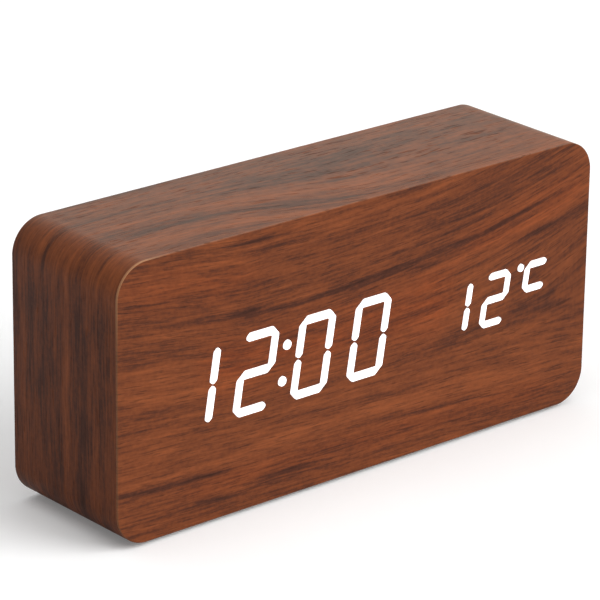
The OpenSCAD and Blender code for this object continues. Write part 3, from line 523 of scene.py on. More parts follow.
def face_veneer_material():
    """The face sheet. Its bare edge shows pale only round the upper left corner."""
    material, b, shader, coordinates = new_material("walnut face veneer")
    x, _, z = b.parts(coordinates["Object"])
    up = b.less(z, BLOCK_MID_Z)
    edge = b.group("Edge Wear", {"Normal": coordinates["Normal"]})["Mask"]
    worn = b.stretch(x, -70 * MM, -58 * MM, 0.9, 0.08, smooth=True)
    worn = b.times(worn, b.stretch(up, 12 * MM, 30 * MM, 0.35, 1.0, smooth=True))
    edge = b.times(edge, worn)
    shift = b.less(b.times(knot_shadow(b, x, up), -0.22), 0.02)
    flow = face_flow(b, x, up)
    walnut(b, shader, flow, 4.0, 0.3, FACE_STREAKS, edge, shift, warm=FACE_WARMTH)
    return material


def rear_veneer_material():
    material, b, shader, coordinates = new_material("walnut rear veneer")
    x, _, z = b.parts(coordinates["Object"])
    turned_away = {"Normal": coordinates["Normal"], "Plain": (0, 1, 0)}
    edge = b.group("Edge Wear", turned_away)["Mask"]
    walnut(b, shader, b.vector(x, z, 0.0), 11.0, 0.9, REAR_STREAKS, edge, -0.04)
    return material


BAND_STREAKS_AND_CORNER_LIGHT = [
    # distance back from the face, width, start, end, strength
    # The first row is no grain. It is a broad paler patch over the whole depth of the upper left
    # rounded corner: painted light, for how the light falls on that corner.
    (16.0, 26.0, 126, 149, 0.20),
    (8.4, 2.6, 142, 205, 0.30),
    (14.2, 1.1, 150, 218, -0.24),
    (4.2, 0.8, 158, 190, -0.14),
    (21.2, 1.4, 148, 252, 0.18),
    (30.0, 1.4, 190, 290, -0.16),
    (18.4, 1.4, 60, 146, 0.20),
    (7.4, 1.2, 60, 140, 0.10),
    (28.0, 1.4, 62, 150, -0.16),
    (13.5, 1.0, 60, 140, -0.12),
    (3.2, 0.9, 66, 140, -0.12),
]


def band_veneer_material():
    """Grain that runs round the block: along the sheet is the way round it, and across is the
    distance back from the face, both from the piece's own UV map in metres."""
    material, b, shader, coordinates = new_material("walnut band veneer")
    round_way, back, _ = b.parts(coordinates["UV"])
    bend = b.stretch(round_way, 163 * MM, 223 * MM, 0.0, -12 * MM, smooth=True)
    near = b.stretch(back, 2 * MM, 36 * MM, 1.0, 0.0, smooth=True)
    across = b.less(back, b.times(bend, near))
    place = b.vector(round_way, across, 0.0)
    # Besides its grain streaks, the band's table paints light on the upper left rounded corner.
    walnut(b, shader, place, 21.0, 0.35, BAND_STREAKS_AND_CORNER_LIGHT, shift=-0.10, pored=0.12)
    return material


# ---------------------------------------------------------------------------
# Finishes of the other pieces
# ---------------------------------------------------------------------------


# Colours of the pieces that have no setting, as linear red, green and blue
FIBRES = [(0.3, (0.17, 0.09, 0.045)), (0.52, (0.33, 0.20, 0.11)), (0.7, (0.50, 0.34, 0.20))]
PINE_RINGS = [(0.0, (0.62, 0.42, 0.22)), (0.7, (0.56, 0.34, 0.15)), (0.95, (0.34, 0.17, 0.06))]
FELT_HAIRS = [(0.3, (0.006, 0.006, 0.006)), (0.75, (0.045, 0.043, 0.040))]
LAMP_RESIN = [(0.35, (0.80, 0.62, 0.12)), (0.65, (0.92, 0.86, 0.55))]
LAMP_GLOW = [(0.35, (1.0, 0.93, 0.78)), (0.65, (1.0, 1.0, 1.0))]
MARK_PAINT = (0.52, 0.52, 0.50)
VIA_TIN = (0.62, 0.60, 0.55)
LEG_TIN = (0.75, 0.75, 0.73)
RESISTOR_TIN = (0.78, 0.78, 0.76)
CAN_TOP, CAN_STRIPE = (0.72, 0.72, 0.72), (0.55, 0.58, 0.62)
CELL_STEEL, CELL_LINE = (0.74, 0.74, 0.72), (0.75, 0.75, 0.75)
CELL_BAND, CELL_SCUFF = (0.014, 0.014, 0.016), (0.6, 0.6, 0.6)
RIBBON_EDGE = (0.42, 0.03, 0.02)
WORN_STEEL = (0.42, 0.41, 0.39)

# Shares of a cell's length from its button end, where the printed bands change
CELL_BARE_TO, CELL_LINE_FROM, CELL_LINE_TO, CELL_BAND_FROM, CELL_BAND_TO = (
    0.052, 0.31, 0.325, 0.34, 0.968
)

TRACK_PITCH = 720.0  # tracks a metre
VIA_PITCH = 330.0
WEAVE_PITCH = 9000.0


def fibreboard_material():
    """Pressed wood fibres: short flecks of light and dark brown."""
    material, b, shader, coordinates = new_material("fibreboard")
    fleck = b.noise(coordinates["Object"], 1700.0, 4.0, 0.7)
    patch = b.noise(coordinates["Object"], 60.0, 3.0)
    b.fill(shader, {
        "Base Color": b.ramp(b.add(b.times(fleck, 0.75), b.times(patch, 0.25)), FIBRES),
        "Roughness": b.stretch(patch, 0.3, 0.7, 0.82, 0.92),
        "Normal": b.bump(fleck, 0.08 * MM, 0.6),
    })
    return material


def pine_material():
    """Sawn softwood: wavy rings across, with saw marks."""
    material, b, shader, coordinates = new_material("sawn pine")
    x, y, z = b.parts(coordinates["Object"])
    drawn_out = b.vector(b.times(x, 300.0), b.times(y, 30.0), b.times(z, 300.0))
    wave = b.noise(drawn_out, 1.0, 3.0)
    ring = b.maths("FRACT", b.add(b.times(z, 520.0), b.times(wave, 1.6)))
    b.fill(shader, {
        "Base Color": b.ramp(ring, PINE_RINGS),
        "Roughness": b.stretch(wave, 0.3, 0.7, 0.7, 0.85),
        "Normal": b.bump(b.maths("FRACT", b.times(y, 1400.0)), 0.04 * MM, 0.4),
    })
    return material


def felt_material():
    material, b, shader, coordinates = new_material("black felt")
    hair = b.noise(coordinates["Object"], 2600.0, 4.0, 0.75)
    b.fill(shader, {
        "Base Color": b.ramp(hair, FELT_HAIRS),
        "Roughness": b.stretch(hair, 0.0, 1.0, 0.88, 1.0),
        "Normal": b.bump(hair, 0.2 * MM, 0.8),
        "Sheen Weight": 0.4,
    })
    return material


def moulded_material(name, colour, rough=0.45, grain=0.3 * MM, depth=0.012 * MM, dusty=0.25):
    """A moulded plastic: texture in its height, patches in its shine, and a little dust."""
    material, b, shader, coordinates = new_material(name)
    texture = b.group("Moulded Texture", {"Place": coordinates["Object"], "Grain": grain})
    paler = scaled(colour, 1.35, 0.006)
    body = b.blend(b.stretch(texture["Patch"], 0.35, 0.65), tuple(colour), paler)
    body = b.blend(b.times(texture["Dust"], dusty), body, scaled(colour, 1, 0.10))
    b.fill(shader, {
        "Base Color": body,
        "Roughness": b.stretch(texture["Patch"], 0.3, 0.7, rough - 0.05, rough + 0.07),
        "Normal": b.bump(texture["Height"], depth, 0.8),
    })
    return material


def cap_material():
    """Button caps: the moulded plastic, with pale paint on the floors of the engraved marks.
    A floor faces out and lies between two depths below the cap's face."""
    colour = tuple(settings().plastic.button)
    material = moulded_material("button caps", colour, 0.34, 0.25 * MM, 0.01 * MM, 0.15)
    b = Bench(material.node_tree)
    shader = material.node_tree.nodes["Principled BSDF"]
    coordinates = b.put("TexCoord").outputs
    _, y, _ = b.parts(coordinates["Object"])
    _, facing, _ = b.parts(coordinates["Normal"])
    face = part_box("set_button")[1].y
    sunk = b.between(y, face - 0.4 * MM, face - 0.2 * MM)
    paint = b.times(sunk, b.maths("GREATER_THAN", facing, 0.8))
    plain = shader.inputs["Base Color"].links[0].from_socket
    b.set(shader.inputs["Base Color"], b.blend(paint, plain, MARK_PAINT))
    return material


def metal_material(name, colour, rough=0.28, worn=None):
    """A plated or rolled metal: scratches in its shine, slow patches in its colour."""
    material, b, shader, coordinates = new_material(name)
    marks = b.group("Brushed Metal", {"Place": coordinates["Object"]})
    body = b.blend(b.stretch(marks["Patch"], 0.35, 0.65), scaled(colour, 0.78), tuple(colour))
    if worn is not None:
        body = b.blend(b.stretch(marks["Scratch"], 0.62, 0.70), body, worn)
    b.fill(shader, {
        "Base Color": body,
        "Metallic": 1.0,
        "Roughness": b.stretch(marks["Scratch"], 0.2, 0.8, rough - 0.08, rough + 0.14),
        "Normal": b.bump(marks["Scratch"], 0.004 * MM, 0.5),
    })
    return material


def lit_material():
    """A bar lit from behind: even white with the faintest mottle of the wood before it."""
    display = settings().display
    material, b, shader, coordinates = new_material("lit figures")
    cloud = b.noise(coordinates["Object"], 420.0, 2.0)
    glow = tuple(display.glow)
    colour = b.blend(b.stretch(cloud, 0.3, 0.7), scaled(glow, 0.93), glow)
    b.fill(shader, {
        "Base Color": colour,
        "Emission Color": colour,
        "Emission Strength": display.strength,
        "Roughness": 0.6,
    })
    return material


# The dark red film round the lit bars. It glows faintly: a painted glow of the bars' light
# spilling round their edges.
def film_with_painted_glow_material():
    material, b, shader, coordinates = new_material("dark red film with painted glow")
    cloud = b.noise(coordinates["Object"], 900.0, 3.0)
    film = tuple(settings().display.film)
    colour = b.blend(b.stretch(cloud, 0.3, 0.7), scaled(film, 0.6), film)
    b.fill(shader, {
        "Base Color": colour,
        "Emission Color": colour,
        # Painted glow: the film gives off a little light of its own colour.
        "Emission Strength": 0.25,
        "Roughness": b.stretch(cloud, 0.3, 0.7, 0.45, 0.6),
    })
    return material


def board_material():
    """Solder mask over copper: straight runs of track, vias, and the weave of the glass."""
    material, b, shader, coordinates = new_material("circuit board")
    mask = tuple(settings().plastic.mask)
    x, _, z = b.parts(coordinates["Object"])

    def tracks(along, across, seed):
        lanes = b.times(across, TRACK_PITCH)
        line = b.between(b.maths("FRACT", lanes), 0.30, 0.66)
        number = b.maths("FLOOR", lanes)
        place = b.vector(b.times(along, 70.0), b.times(number, 7.31), seed)
        return b.times(line, b.stretch(b.noise(place, 1.0, 1.0), 0.53, 0.55))

    copper = b.maths("MAXIMUM", tracks(x, z, 1.0), b.times(tracks(z, x, 8.0), 0.9))
    spots = {"Vector": b.vector(x, z, 0.0), "Scale": VIA_PITCH, "Randomness": 0.35}
    dots = b.put("TexVoronoi", spots).outputs
    chosen = b.maths("GREATER_THAN", b.parts(dots["Color"])[0], 0.72)
    via = b.times(b.maths("LESS_THAN", dots["Distance"], 0.16), chosen)
    warp, weft = (b.maths("SINE", b.times(way, WEAVE_PITCH)) for way in (x, z))
    weave = b.times(warp, weft)
    colour = b.blend(b.times(copper, 0.75), mask, scaled(mask, 1.9, 0.01))
    b.fill(shader, {
        "Base Color": b.blend(via, colour, VIA_TIN),
        "Metallic": b.times(via, 0.9),
        "Roughness": b.stretch(weave, -1.0, 1.0, 0.30, 0.38),
        "Normal": b.bump(b.add(copper, b.times(weave, 0.06)), 0.03 * MM, 0.8),
    })
    return material


def chip_material():
    """Epoxy bodies with bright legs: what stands close to the board is solder and tin."""
    material, b, shader, coordinates = new_material("chip epoxy")
    _, y, _ = b.parts(coordinates["Object"])
    board_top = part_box("microcontroller")[0].y
    leg = b.maths("LESS_THAN", y, board_top + 0.09 * MM)
    texture = b.group("Moulded Texture", {"Place": coordinates["Object"], "Grain": 0.15 * MM})
    body = b.blend(texture["Patch"], (0.010, 0.010, 0.011), (0.020, 0.020, 0.022))
    b.fill(shader, {
        "Base Color": b.blend(leg, body, LEG_TIN),
        "Metallic": leg,
        "Roughness": b.stretch(leg, 0.0, 1.0, 0.55, 0.25),
        "Normal": b.bump(texture["Height"], 0.01 * MM, 0.7),
    })
    return material


def resistor_material():
    """Black tops between tinned ends."""
    material, b, shader, coordinates = new_material("chip resistors")
    low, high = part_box("resistors")
    _, _, z = b.parts(coordinates["Object"])
    off = b.maths("ABSOLUTE", b.less(z, (low.z + high.z) / 2))
    end = b.maths("GREATER_THAN", off, (high.z - low.z) / 2 - 0.35 * MM)
    grain = b.noise(coordinates["Object"], 3000.0, 2.0)
    body = b.blend(grain, (0.010, 0.010, 0.012), (0.022, 0.022, 0.026))
    b.fill(shader, {
        "Base Color": b.blend(end, body, RESISTOR_TIN),
        "Metallic": end,
        "Roughness": b.stretch(grain, 0.2, 0.8, 0.3, 0.45),
    })
    return material


def lamp_material():
    """Small square lamps: a white cup round yellow resin."""
    material, b, shader, coordinates = new_material("lamp resin")
    grain = b.noise(coordinates["Object"], 2200.0, 2.0)
    b.fill(shader, {
        "Base Color": b.ramp(grain, LAMP_RESIN),
        "Emission Color": b.ramp(grain, LAMP_GLOW),
        "Emission Strength": 0.5,
        "Roughness": b.stretch(grain, 0.2, 0.8, 0.15, 0.3),
    })
    return material


def sleeve_material():
    """Shrink sleeve of the two round capacitors, with a pale stripe and a bare top."""
    material, b, shader, coordinates = new_material("capacitor sleeve")
    low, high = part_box("capacitors")
    _, y, z = b.parts(coordinates["Object"])
    top = b.maths("GREATER_THAN", y, high.y - 0.12 * MM)
    stripe = b.maths("LESS_THAN", z, low.z + 0.7 * MM)
    grain = b.noise(coordinates["Object"], 1500.0, 2.0)
    body = b.blend(grain, (0.008, 0.012, 0.035), (0.018, 0.024, 0.060))
    body = b.blend(stripe, body, CAN_STRIPE)
    b.fill(shader, {
        "Base Color": b.blend(top, body, CAN_TOP),
        "Metallic": top,
        "Roughness": b.stretch(grain, 0.2, 0.8, 0.18, 0.3),
    })
    return material


def cell_sleeve_material():
    """Printed sleeve of a cell, on its own UV map: U is the share of its length from the
    button end and V the way round. A dark band, a thin line and bare ends."""
    material, b, shader, coordinates = new_material("cell sleeve")
    label = tuple(settings().plastic.label)
    along, _, _ = b.parts(coordinates["UV"])
    place = coordinates["Object"]
    button_end = b.maths("LESS_THAN", along, CELL_BARE_TO)
    far_end = b.maths("GREATER_THAN", along, CELL_BAND_TO)
    bare = b.maths("ADD", button_end, far_end, clamp=True)
    band = b.between(along, CELL_BAND_FROM, CELL_BAND_TO)
    line = b.between(along, CELL_LINE_FROM, CELL_LINE_TO)
    scuff = b.stretch(b.noise(place, 1200.0, 4.0, 0.7), 0.62, 0.72)
    colour = b.blend(band, label, CELL_BAND)
    colour = b.blend(line, colour, CELL_LINE)
    colour = b.blend(b.times(scuff, 0.12), colour, CELL_SCUFF)
    b.fill(shader, {
        "Base Color": b.blend(bare, colour, CELL_STEEL),
        "Metallic": b.maths("MAXIMUM", bare, b.times(b.less(1.0, band), 0.75)),
        "Roughness": b.stretch(b.noise(place, 250.0, 3.0), 0.3, 0.7, 0.2, 0.34),
    })
    return material


def wire_material(name, colour):
    """Soft insulation, a little duller where it has been handled."""
    material, b, shader, coordinates = new_material(name)
    patch = b.noise(coordinates["Object"], 500.0, 3.0)
    b.fill(shader, {
        "Base Color": b.blend(b.stretch(patch, 0.35, 0.65), colour, scaled(colour, 1.5, 0.01)),
        "Roughness": b.stretch(patch, 0.3, 0.7, 0.38, 0.55),
        "Normal": b.bump(patch, 0.02 * MM, 0.5),
    })
    return material


def ribbon_material():
    """Grey ribbon with one red edge, on its own UV map: V runs across the cores."""
    material, b, shader, coordinates = new_material("ribbon insulation")
    _, across, _ = b.parts(coordinates["UV"])
    patch = b.noise(coordinates["Object"], 700.0, 3.0)
    body = b.blend(b.stretch(patch, 0.3, 0.7), (0.36, 0.36, 0.35), (0.46, 0.46, 0.45))
    b.fill(shader, {
        "Base Color": b.blend(b.maths("LESS_THAN", across, 0.1), body, RIBBON_EDGE),
        "Roughness": b.stretch(patch, 0.3, 0.7, 0.45, 0.6),
    })
    return material


def floor_material():
    """A pale floor that is bright to the camera and throws less light back on the block."""
    material, b, shader, coordinates = new_material("pale floor")
    tone = tuple(settings().stage.floor)
    cloud = b.noise(coordinates["Object"], 6.0, 3.0)
    seen = b.put("LightPath").outputs["Is Camera Ray"]
    pale = b.blend(cloud, scaled(tone, 0.995), tone)
    b.fill(shader, {
        "Base Color": b.blend(seen, scaled(tone, 0.55), pale),
        "Roughness": 0.9,
        "Specular IOR Level": 0.1,
        "Emission Color": (1, 1, 1),
        "Emission Strength": b.times(seen, 0.12),
    })
    return material


def moulded(name, colour, *texture):
    return lambda: moulded_material(name, colour, *texture)


def metal(name, colour, *shine):
    return lambda: metal_material(name, colour, *shine)


def wire(name, colour):
    return lambda: wire_material(name, colour)


MATERIAL_MAKERS = {
    "face": face_veneer_material,
    "rear": rear_veneer_material,
    "band": band_veneer_material,
    "fibreboard": fibreboard_material,
    "pine": pine_material,
    "felt": felt_material,
    "lit": lit_material,
    "film": film_with_painted_glow_material,
    "board": board_material,
    "chip": chip_material,
    "resistor": resistor_material,
    "lamp": lamp_material,
    "sleeve": sleeve_material,
    "cell": cell_sleeve_material,
    "ribbon": ribbon_material,
    "white": moulded("white moulding", (0.80, 0.80, 0.78), 0.5),
    "cream": moulded("cream nylon", (0.78, 0.74, 0.62), 0.42),
    "black": lambda: moulded_material(
        "black moulding", tuple(settings().plastic.black), 0.42, 0.35 * MM, 0.02 * MM
    ),
    "cap": cap_material,
    "bead": moulded("sensor bead", (0.012, 0.012, 0.06), 0.2, 0.4 * MM, 0.004 * MM),
    "dark screw": metal("blackened screw", (0.075, 0.070, 0.066), 0.34, WORN_STEEL),
    "zinc": metal("zinc plated screw", (0.70, 0.70, 0.67), 0.26),
    "plated": metal("plated sheet", (0.78, 0.77, 0.74), 0.24),
    "nickel": metal("nickel spring", (0.76, 0.74, 0.70), 0.18),
    "red wire": wire("red insulation", (0.50, 0.018, 0.012)),
    "black wire": wire("black insulation", (0.014, 0.014, 0.015)),
    "floor": floor_material,
}
MATERIALS = {}


def finish(name):
    """A material by its name on this bench, made the first time it is asked for."""
    if name not in MATERIALS:
        MATERIALS[name] = MATERIAL_MAKERS[name]()
    return MATERIALS[name]


# ---------------------------------------------------------------------------
# Surfaces
# ---------------------------------------------------------------------------


def surface(name, points, uv=None, round_u=False, round_v=False, close_ends=False, sharp=40):
    """A mesh from a grid of points, shape (nu, nv, 3). Each cell of the grid is a four-sided
    face. round_u or round_v joins the last row or column to the first. close_ends puts a fan
    on the first and the last row, about each row's mean. uv has the grid's shape with one more
    row or column where the grid is round, so that a pattern meets itself."""
    points = np.asarray(points, float)
    nu, nv = points.shape[:2]
    rows = np.arange(nu if round_u else nu - 1)[:, None]
    columns = np.arange(nv if round_v else nv - 1)[None, :]
    rows, columns = np.broadcast_arrays(rows, columns)

    def at(r, c):
        return (r % nu) * nv + c % nv

    def corners_of(value_at):
        """A value at the four corners of each cell, going round it."""
        return [value_at(rows, columns), value_at(rows + 1, columns),
                value_at(rows + 1, columns + 1), value_at(rows, columns + 1)]

    faces = np.stack(corners_of(at), axis=-1).reshape(-1, 4)
    verts = points.reshape(-1, 3)
    fans = []
    if close_ends:
        verts = np.vstack([verts, points[0].mean(0), points[-1].mean(0)])
        ring = np.arange(nv)
        after = (ring + 1) % nv
        middle_first = np.full(nv, nu * nv)
        last_row = (nu - 1) * nv
        fans = np.vstack([
            np.stack([middle_first, ring, after], axis=-1),
            np.stack([middle_first + 1, last_row + after, last_row + ring], axis=-1),
        ]).tolist()
    mesh = bpy.data.meshes.new(name)
    mesh.from_pydata(verts.tolist(), [], faces.tolist() + fans)
    if uv is not None:
        uv = np.asarray(uv, float)
        corners = np.stack(corners_of(lambda r, c: uv[r, c]), axis=2).reshape(-1, 2)
        layer = mesh.uv_layers.new(name="UVMap")
        filled = np.zeros((len(mesh.loops), 2))
        filled[: len(corners)] = corners
        layer.data.foreach_set("uv", filled.astype(np.float32).ravel())
    mesh.validate()
    mesh.shade_smooth()
    mesh.set_sharp_from_angle(angle=math.radians(sharp))
    made = bpy.data.objects.new(name, mesh)
    bpy.context.scene.collection.objects.link(made)
    return made


def joined(name, pieces):
    """Several new meshes made one object."""
    mesh = pieces[0].data
    with bpy.context.temp_override(
        active_object=pieces[0], selected_editable_objects=pieces, selected_objects=pieces
    ):
        bpy.ops.object.join()
    pieces[0].name = name
    mesh.name = name
    return pieces[0]


STRETCH_STEPS = 24


def smooth_path(points, count):
    """A curve through a few points: Catmull-Rom pieces, where each stretch is the cubic whose
    ends lie on two points and whose slopes are half the chords past them, then evened out to
    count points a like distance apart."""
    points = np.asarray(points, float)
    ghost = np.vstack([2 * points[0] - points[1], points, 2 * points[-1] - points[-2]])
    t = np.linspace(0, 1, STRETCH_STEPS, endpoint=False)[None, :, None]
    before, start, end, past = (
        ends[:, None, :] for ends in (ghost[:-3], ghost[1:-2], ghost[2:-1], ghost[3:])
    )
    curve = 0.5 * (
        2 * start + (end - before) * t + (2 * before - 5 * start + 4 * end - past) * t ** 2
        + (3 * start - before - 3 * end + past) * t ** 3
    )
    curve = np.vstack([curve.reshape(-1, 3), points[-1:]])
    run = np.concatenate([[0], np.cumsum(np.linalg.norm(np.diff(curve, axis=0), axis=1))])
    even = np.linspace(0, run[-1], count)
    return np.stack([np.interp(even, run, curve[:, k]) for k in range(3)], axis=1)


def unit(vectors):
    """Vectors brought to length 1."""
    return vectors / np.linalg.norm(vectors, axis=-1, keepdims=True)


def path_frames(path, hint):
    """Two directions square to a path at each of its points. The first is the hint with its
    share along the path taken out, and the second is square to both."""
    along = unit(np.gradient(path, axis=0))
    hint = np.broadcast_to(np.asarray(hint, float), path.shape)
    side = unit(hint - along * (hint * along).sum(1)[:, None])
    return side, np.cross(along, side)


def carried(path, across, wide, thick, tall):
    """A section carried along a path: each point is the path's, plus across along one of its
    directions and thick along the other."""
    return (
        path[:, None, :] + across[None, :, None] * wide[:, None, :]
        + thick[None, :, None] * tall[:, None, :]
    )


def tube(name, path, radius, hint, around=16):
    """A round section carried along a path: each point is the path's, plus the radius times
    the cosine of one direction and the sine of the other."""
    side, other = path_frames(path, hint)
    turn = np.linspace(0, 2 * np.pi, around, endpoint=False)
    points = carried(path, radius * np.cos(turn), side, radius * np.sin(turn), other)
    return surface(name, points[:, ::-1], round_v=True, close_ends=True)


def grid(first, second):
    """Every pair of two rows of values, as a UV map's grid."""
    return np.stack(np.meshgrid(first, second, indexing="ij"), axis=-1)


def turned(name, profile, centre, axis, around, uv=False):
    """A profile of (distance along, radius) turned about an axis through centre. axis is +X,
    -X, +Y or -Y as a vector."""
    axis = np.asarray(axis, float)
    side = np.array([0.0, 0.0, 1.0])
    other = np.cross(axis, side)
    turn = np.linspace(0, 2 * np.pi, around, endpoint=False)
    profile = np.asarray(profile, float)
    ring = np.cos(turn)[:, None] * side + np.sin(turn)[:, None] * other
    points = (
        np.asarray(centre, float) + profile[:, 0][:, None, None] * axis
        + profile[:, 1][:, None, None] * ring[None, :, :]
    )
    share = (profile[:, 0] - profile[:, 0].min()) / np.ptp(profile[:, 0])
    map_uv = grid(share, np.linspace(0, 1, around + 1)) if uv else None
    return surface(name, points[:, ::-1], map_uv, round_v=True, close_ends=True, sharp=50)


def quarter(centre, radius, start, end, count):
    """Points of an arc in a profile, as (along, radius) pairs, between two angles."""
    turn = np.radians(np.linspace(start, end, count))
    return np.stack([centre[0] + radius * np.cos(turn), centre[1] + radius * np.sin(turn)], axis=1)


# ---------------------------------------------------------------------------
# Putting pieces into the frame
# ---------------------------------------------------------------------------


MERGE_WITHIN = 0.002 * MM
SHARP_ANGLE = math.radians(42)


def dress(names, material, soften=0.0):
    """Gives CAD nodes a material. soften rounds their sharp edges by that many metres."""
    for name in names.split():
        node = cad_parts[name]
        node.data.materials.clear()
        node.data.materials.append(finish(material))
        if soften:
            weld = node.modifiers.new("merge", "WELD")
            weld.merge_threshold = MERGE_WITHIN
            bevel = node.modifiers.new("soft edges", "BEVEL")
            bevel.width = soften
            bevel.segments = 2
            bevel.limit_method = "ANGLE"
            bevel.angle_limit = SHARP_ANGLE


def place(piece, body, slot, material, *stands_for):
    """Puts a new piece on its body, with its finish, in place of CAD nodes."""
    piece.data.materials.clear()
    piece.data.materials.append(finish(material))
    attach(piece, body)
    if stands_for:
        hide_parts(*stands_for)
    return piece


# ---------------------------------------------------------------------------
# Pieces
# ---------------------------------------------------------------------------


CORNER_STEPS = 20
LONG_STEPS, SHORT_STEPS = 30, 12
ARRIS_STEPS = 5


def block_outline():
    """Points and outward normals of the block's outline in X and Z, starting at the middle of
    the bottom and going left, up, over the top and back. Straight sides alternate with
    quarter circles whose centres lie a radius in from both sides. Also gives each point's
    distance round the outline."""
    r = settings().veneer.corner_radius
    half_w, half_h = BLOCK_W / 2, BLOCK_H / 2
    straight_w, straight_h = half_w - r, half_h - r
    places, normals = [], []

    def side(start, end, normal, count):
        share = np.linspace(0, 1, count, endpoint=False)[:, None]
        places.append(np.asarray(start) + share * (np.asarray(end) - np.asarray(start)))
        normals.append(np.broadcast_to(np.asarray(normal, float), (count, 2)))

    def corner(cx, cz, first):
        turn = np.radians(first - np.linspace(0, 90, CORNER_STEPS, endpoint=False))
        out = np.stack([np.cos(turn), np.sin(turn)], axis=1)
        places.append(np.array([cx, cz]) + r * out)
        normals.append(out)

    side((0, -half_h), (-straight_w, -half_h), (0, -1), LONG_STEPS // 2)
    corner(-straight_w, -straight_h, 270)
    side((-half_w, -straight_h), (-half_w, straight_h), (-1, 0), SHORT_STEPS)
    corner(-straight_w, straight_h, 180)
    side((-straight_w, half_h), (straight_w, half_h), (0, 1), LONG_STEPS)
    corner(straight_w, straight_h, 90)
    side((half_w, straight_h), (half_w, -straight_h), (1, 0), SHORT_STEPS)
    corner(straight_w, -straight_h, 0)
    side((straight_w, -half_h), (0, -half_h), (0, -1), LONG_STEPS // 2)
    outline, out = np.vstack(places), np.vstack(normals)
    steps = np.linalg.norm(np.diff(np.vstack([outline, outline[:1]]), axis=0), axis=1)
    return outline, out, np.concatenate([[0], np.cumsum(steps)])


def band_section():
    """Section of the band as (distance out from the block's side, y), going round it from the
    front inner corner: out, back over a rounded arris, in over the rim, and home. Also gives
    the distance along the sheet from the face at each point."""
    arris = settings().veneer.arris
    front, back = BAND_LOW.y, BACK_Y
    arc = quarter((-arris, back - arris), arris, 0, 90, ARRIS_STEPS)
    section = np.vstack([
        [[-VENEER, front], [0, front]],
        arc,
        [[-RIM, back], [-RIM, back - VENEER]],
        [[-VENEER, back - VENEER]],
    ])
    run = np.concatenate([[0], np.cumsum(np.linalg.norm(np.diff(section, axis=0), axis=1))])
    return section, run - run[1]


class CLOCK_OT_veneer(bpy.types.Operator):
    """Lays the walnut sheets on the face, the back and round the block"""

    bl_idname = "clock.veneer"
    bl_label = "Veneer"

    def execute(self, context):
        outline, out, way_round = block_outline()
        section, across = band_section()
        moved = outline[:, None, :] + section[None, :, 0, None] * out[:, None, :]
        y = np.broadcast_to(section[:, 1], moved.shape[:2])
        points = np.stack([moved[..., 0], y, moved[..., 1] + BLOCK_MID_Z], axis=-1)
        uv = grid(way_round, np.append(across, across[-1] + VENEER))
        band = surface("walnut_band", points, uv, round_u=True, round_v=True)
        place(band, CASE, "walnut_veneer", "band", "band_veneer")
        dress("face_veneer", "face")
        dress("rear_veneer", "rear")
        return {"FINISHED"}


class CLOCK_OT_case(bpy.types.Operator):
    """Finishes the wooden ring, boards, blocks, back panel, its screws and the pads"""

    bl_idname = "clock.case"
    bl_label = "Case"

    def execute(self, context):
        dress("case_ring front_board rear_panel", "fibreboard")
        dress("corner_blocks", "pine")
        dress("panel_screws", "dark screw", 0.06 * MM)
        dress("foot_pads", "felt", 0.15 * MM)
        return {"FINISHED"}


class CLOCK_OT_display(bpy.types.Operator):
    """Lights the figures and finishes the film, the light block and its lamps"""

    bl_idname = "clock.display"
    bl_label = "Display"

    def execute(self, context):
        dress("hour_segments colon_dots minute_segments temperature_segments degree_mark", "lit")
        dress("mask_film", "film")
        dress("reflector_block", "white")
        dress("segment_leds", "lamp")
        return {"FINISHED"}


class CLOCK_OT_boards(bpy.types.Operator):
    """Finishes the circuit boards and what is soldered to them"""

    bl_idname = "clock.boards"
    bl_label = "Boards"

    def execute(self, context):
        dress("display_pcb control_pcb", "board", 0.05 * MM)
        dress("microcontroller led_driver clock_chip", "chip")
        dress("resistors", "resistor")
        dress("crystal", "plated", 0.1 * MM)
        dress("coin_cell_holder buzzer", "black", 0.12 * MM)
        dress("coin_cell", "plated", 0.2 * MM)
        dress("capacitors", "sleeve", 0.15 * MM)
        dress("ribbon_sockets", "cream", 0.1 * MM)
        dress("display_screws control_screws board_screws box_screws", "zinc", 0.08 * MM)
        return {"FINISHED"}


CORES, CORE_R = 8, 0.5 * MM
WEB = 0.3  # share of a core's radius left in the groove between two cores
CORE_STEPS, RIBBON_STEPS, WIRE_STEPS = 7, 60, 48
SOCKET_IN, SOCKET_MID = 6 * MM, 2.25 * MM  # from a socket's far side, and to its middle
RIBBON_BEND = 0.28  # share of the way that each bend takes
WIRE_R, WIRE_CORE_R = 0.6 * MM, 0.3 * MM
WIRE_IN = 1.3 * MM  # from the end of the wire's box to its middle
SOLDER_PROFILE = MM * np.array([
    # height above the board, radius
    (0.0, 1.1), (0.15, 1.0), (0.45, 0.62), (0.9, 0.36), (1.0, 0.3),
])


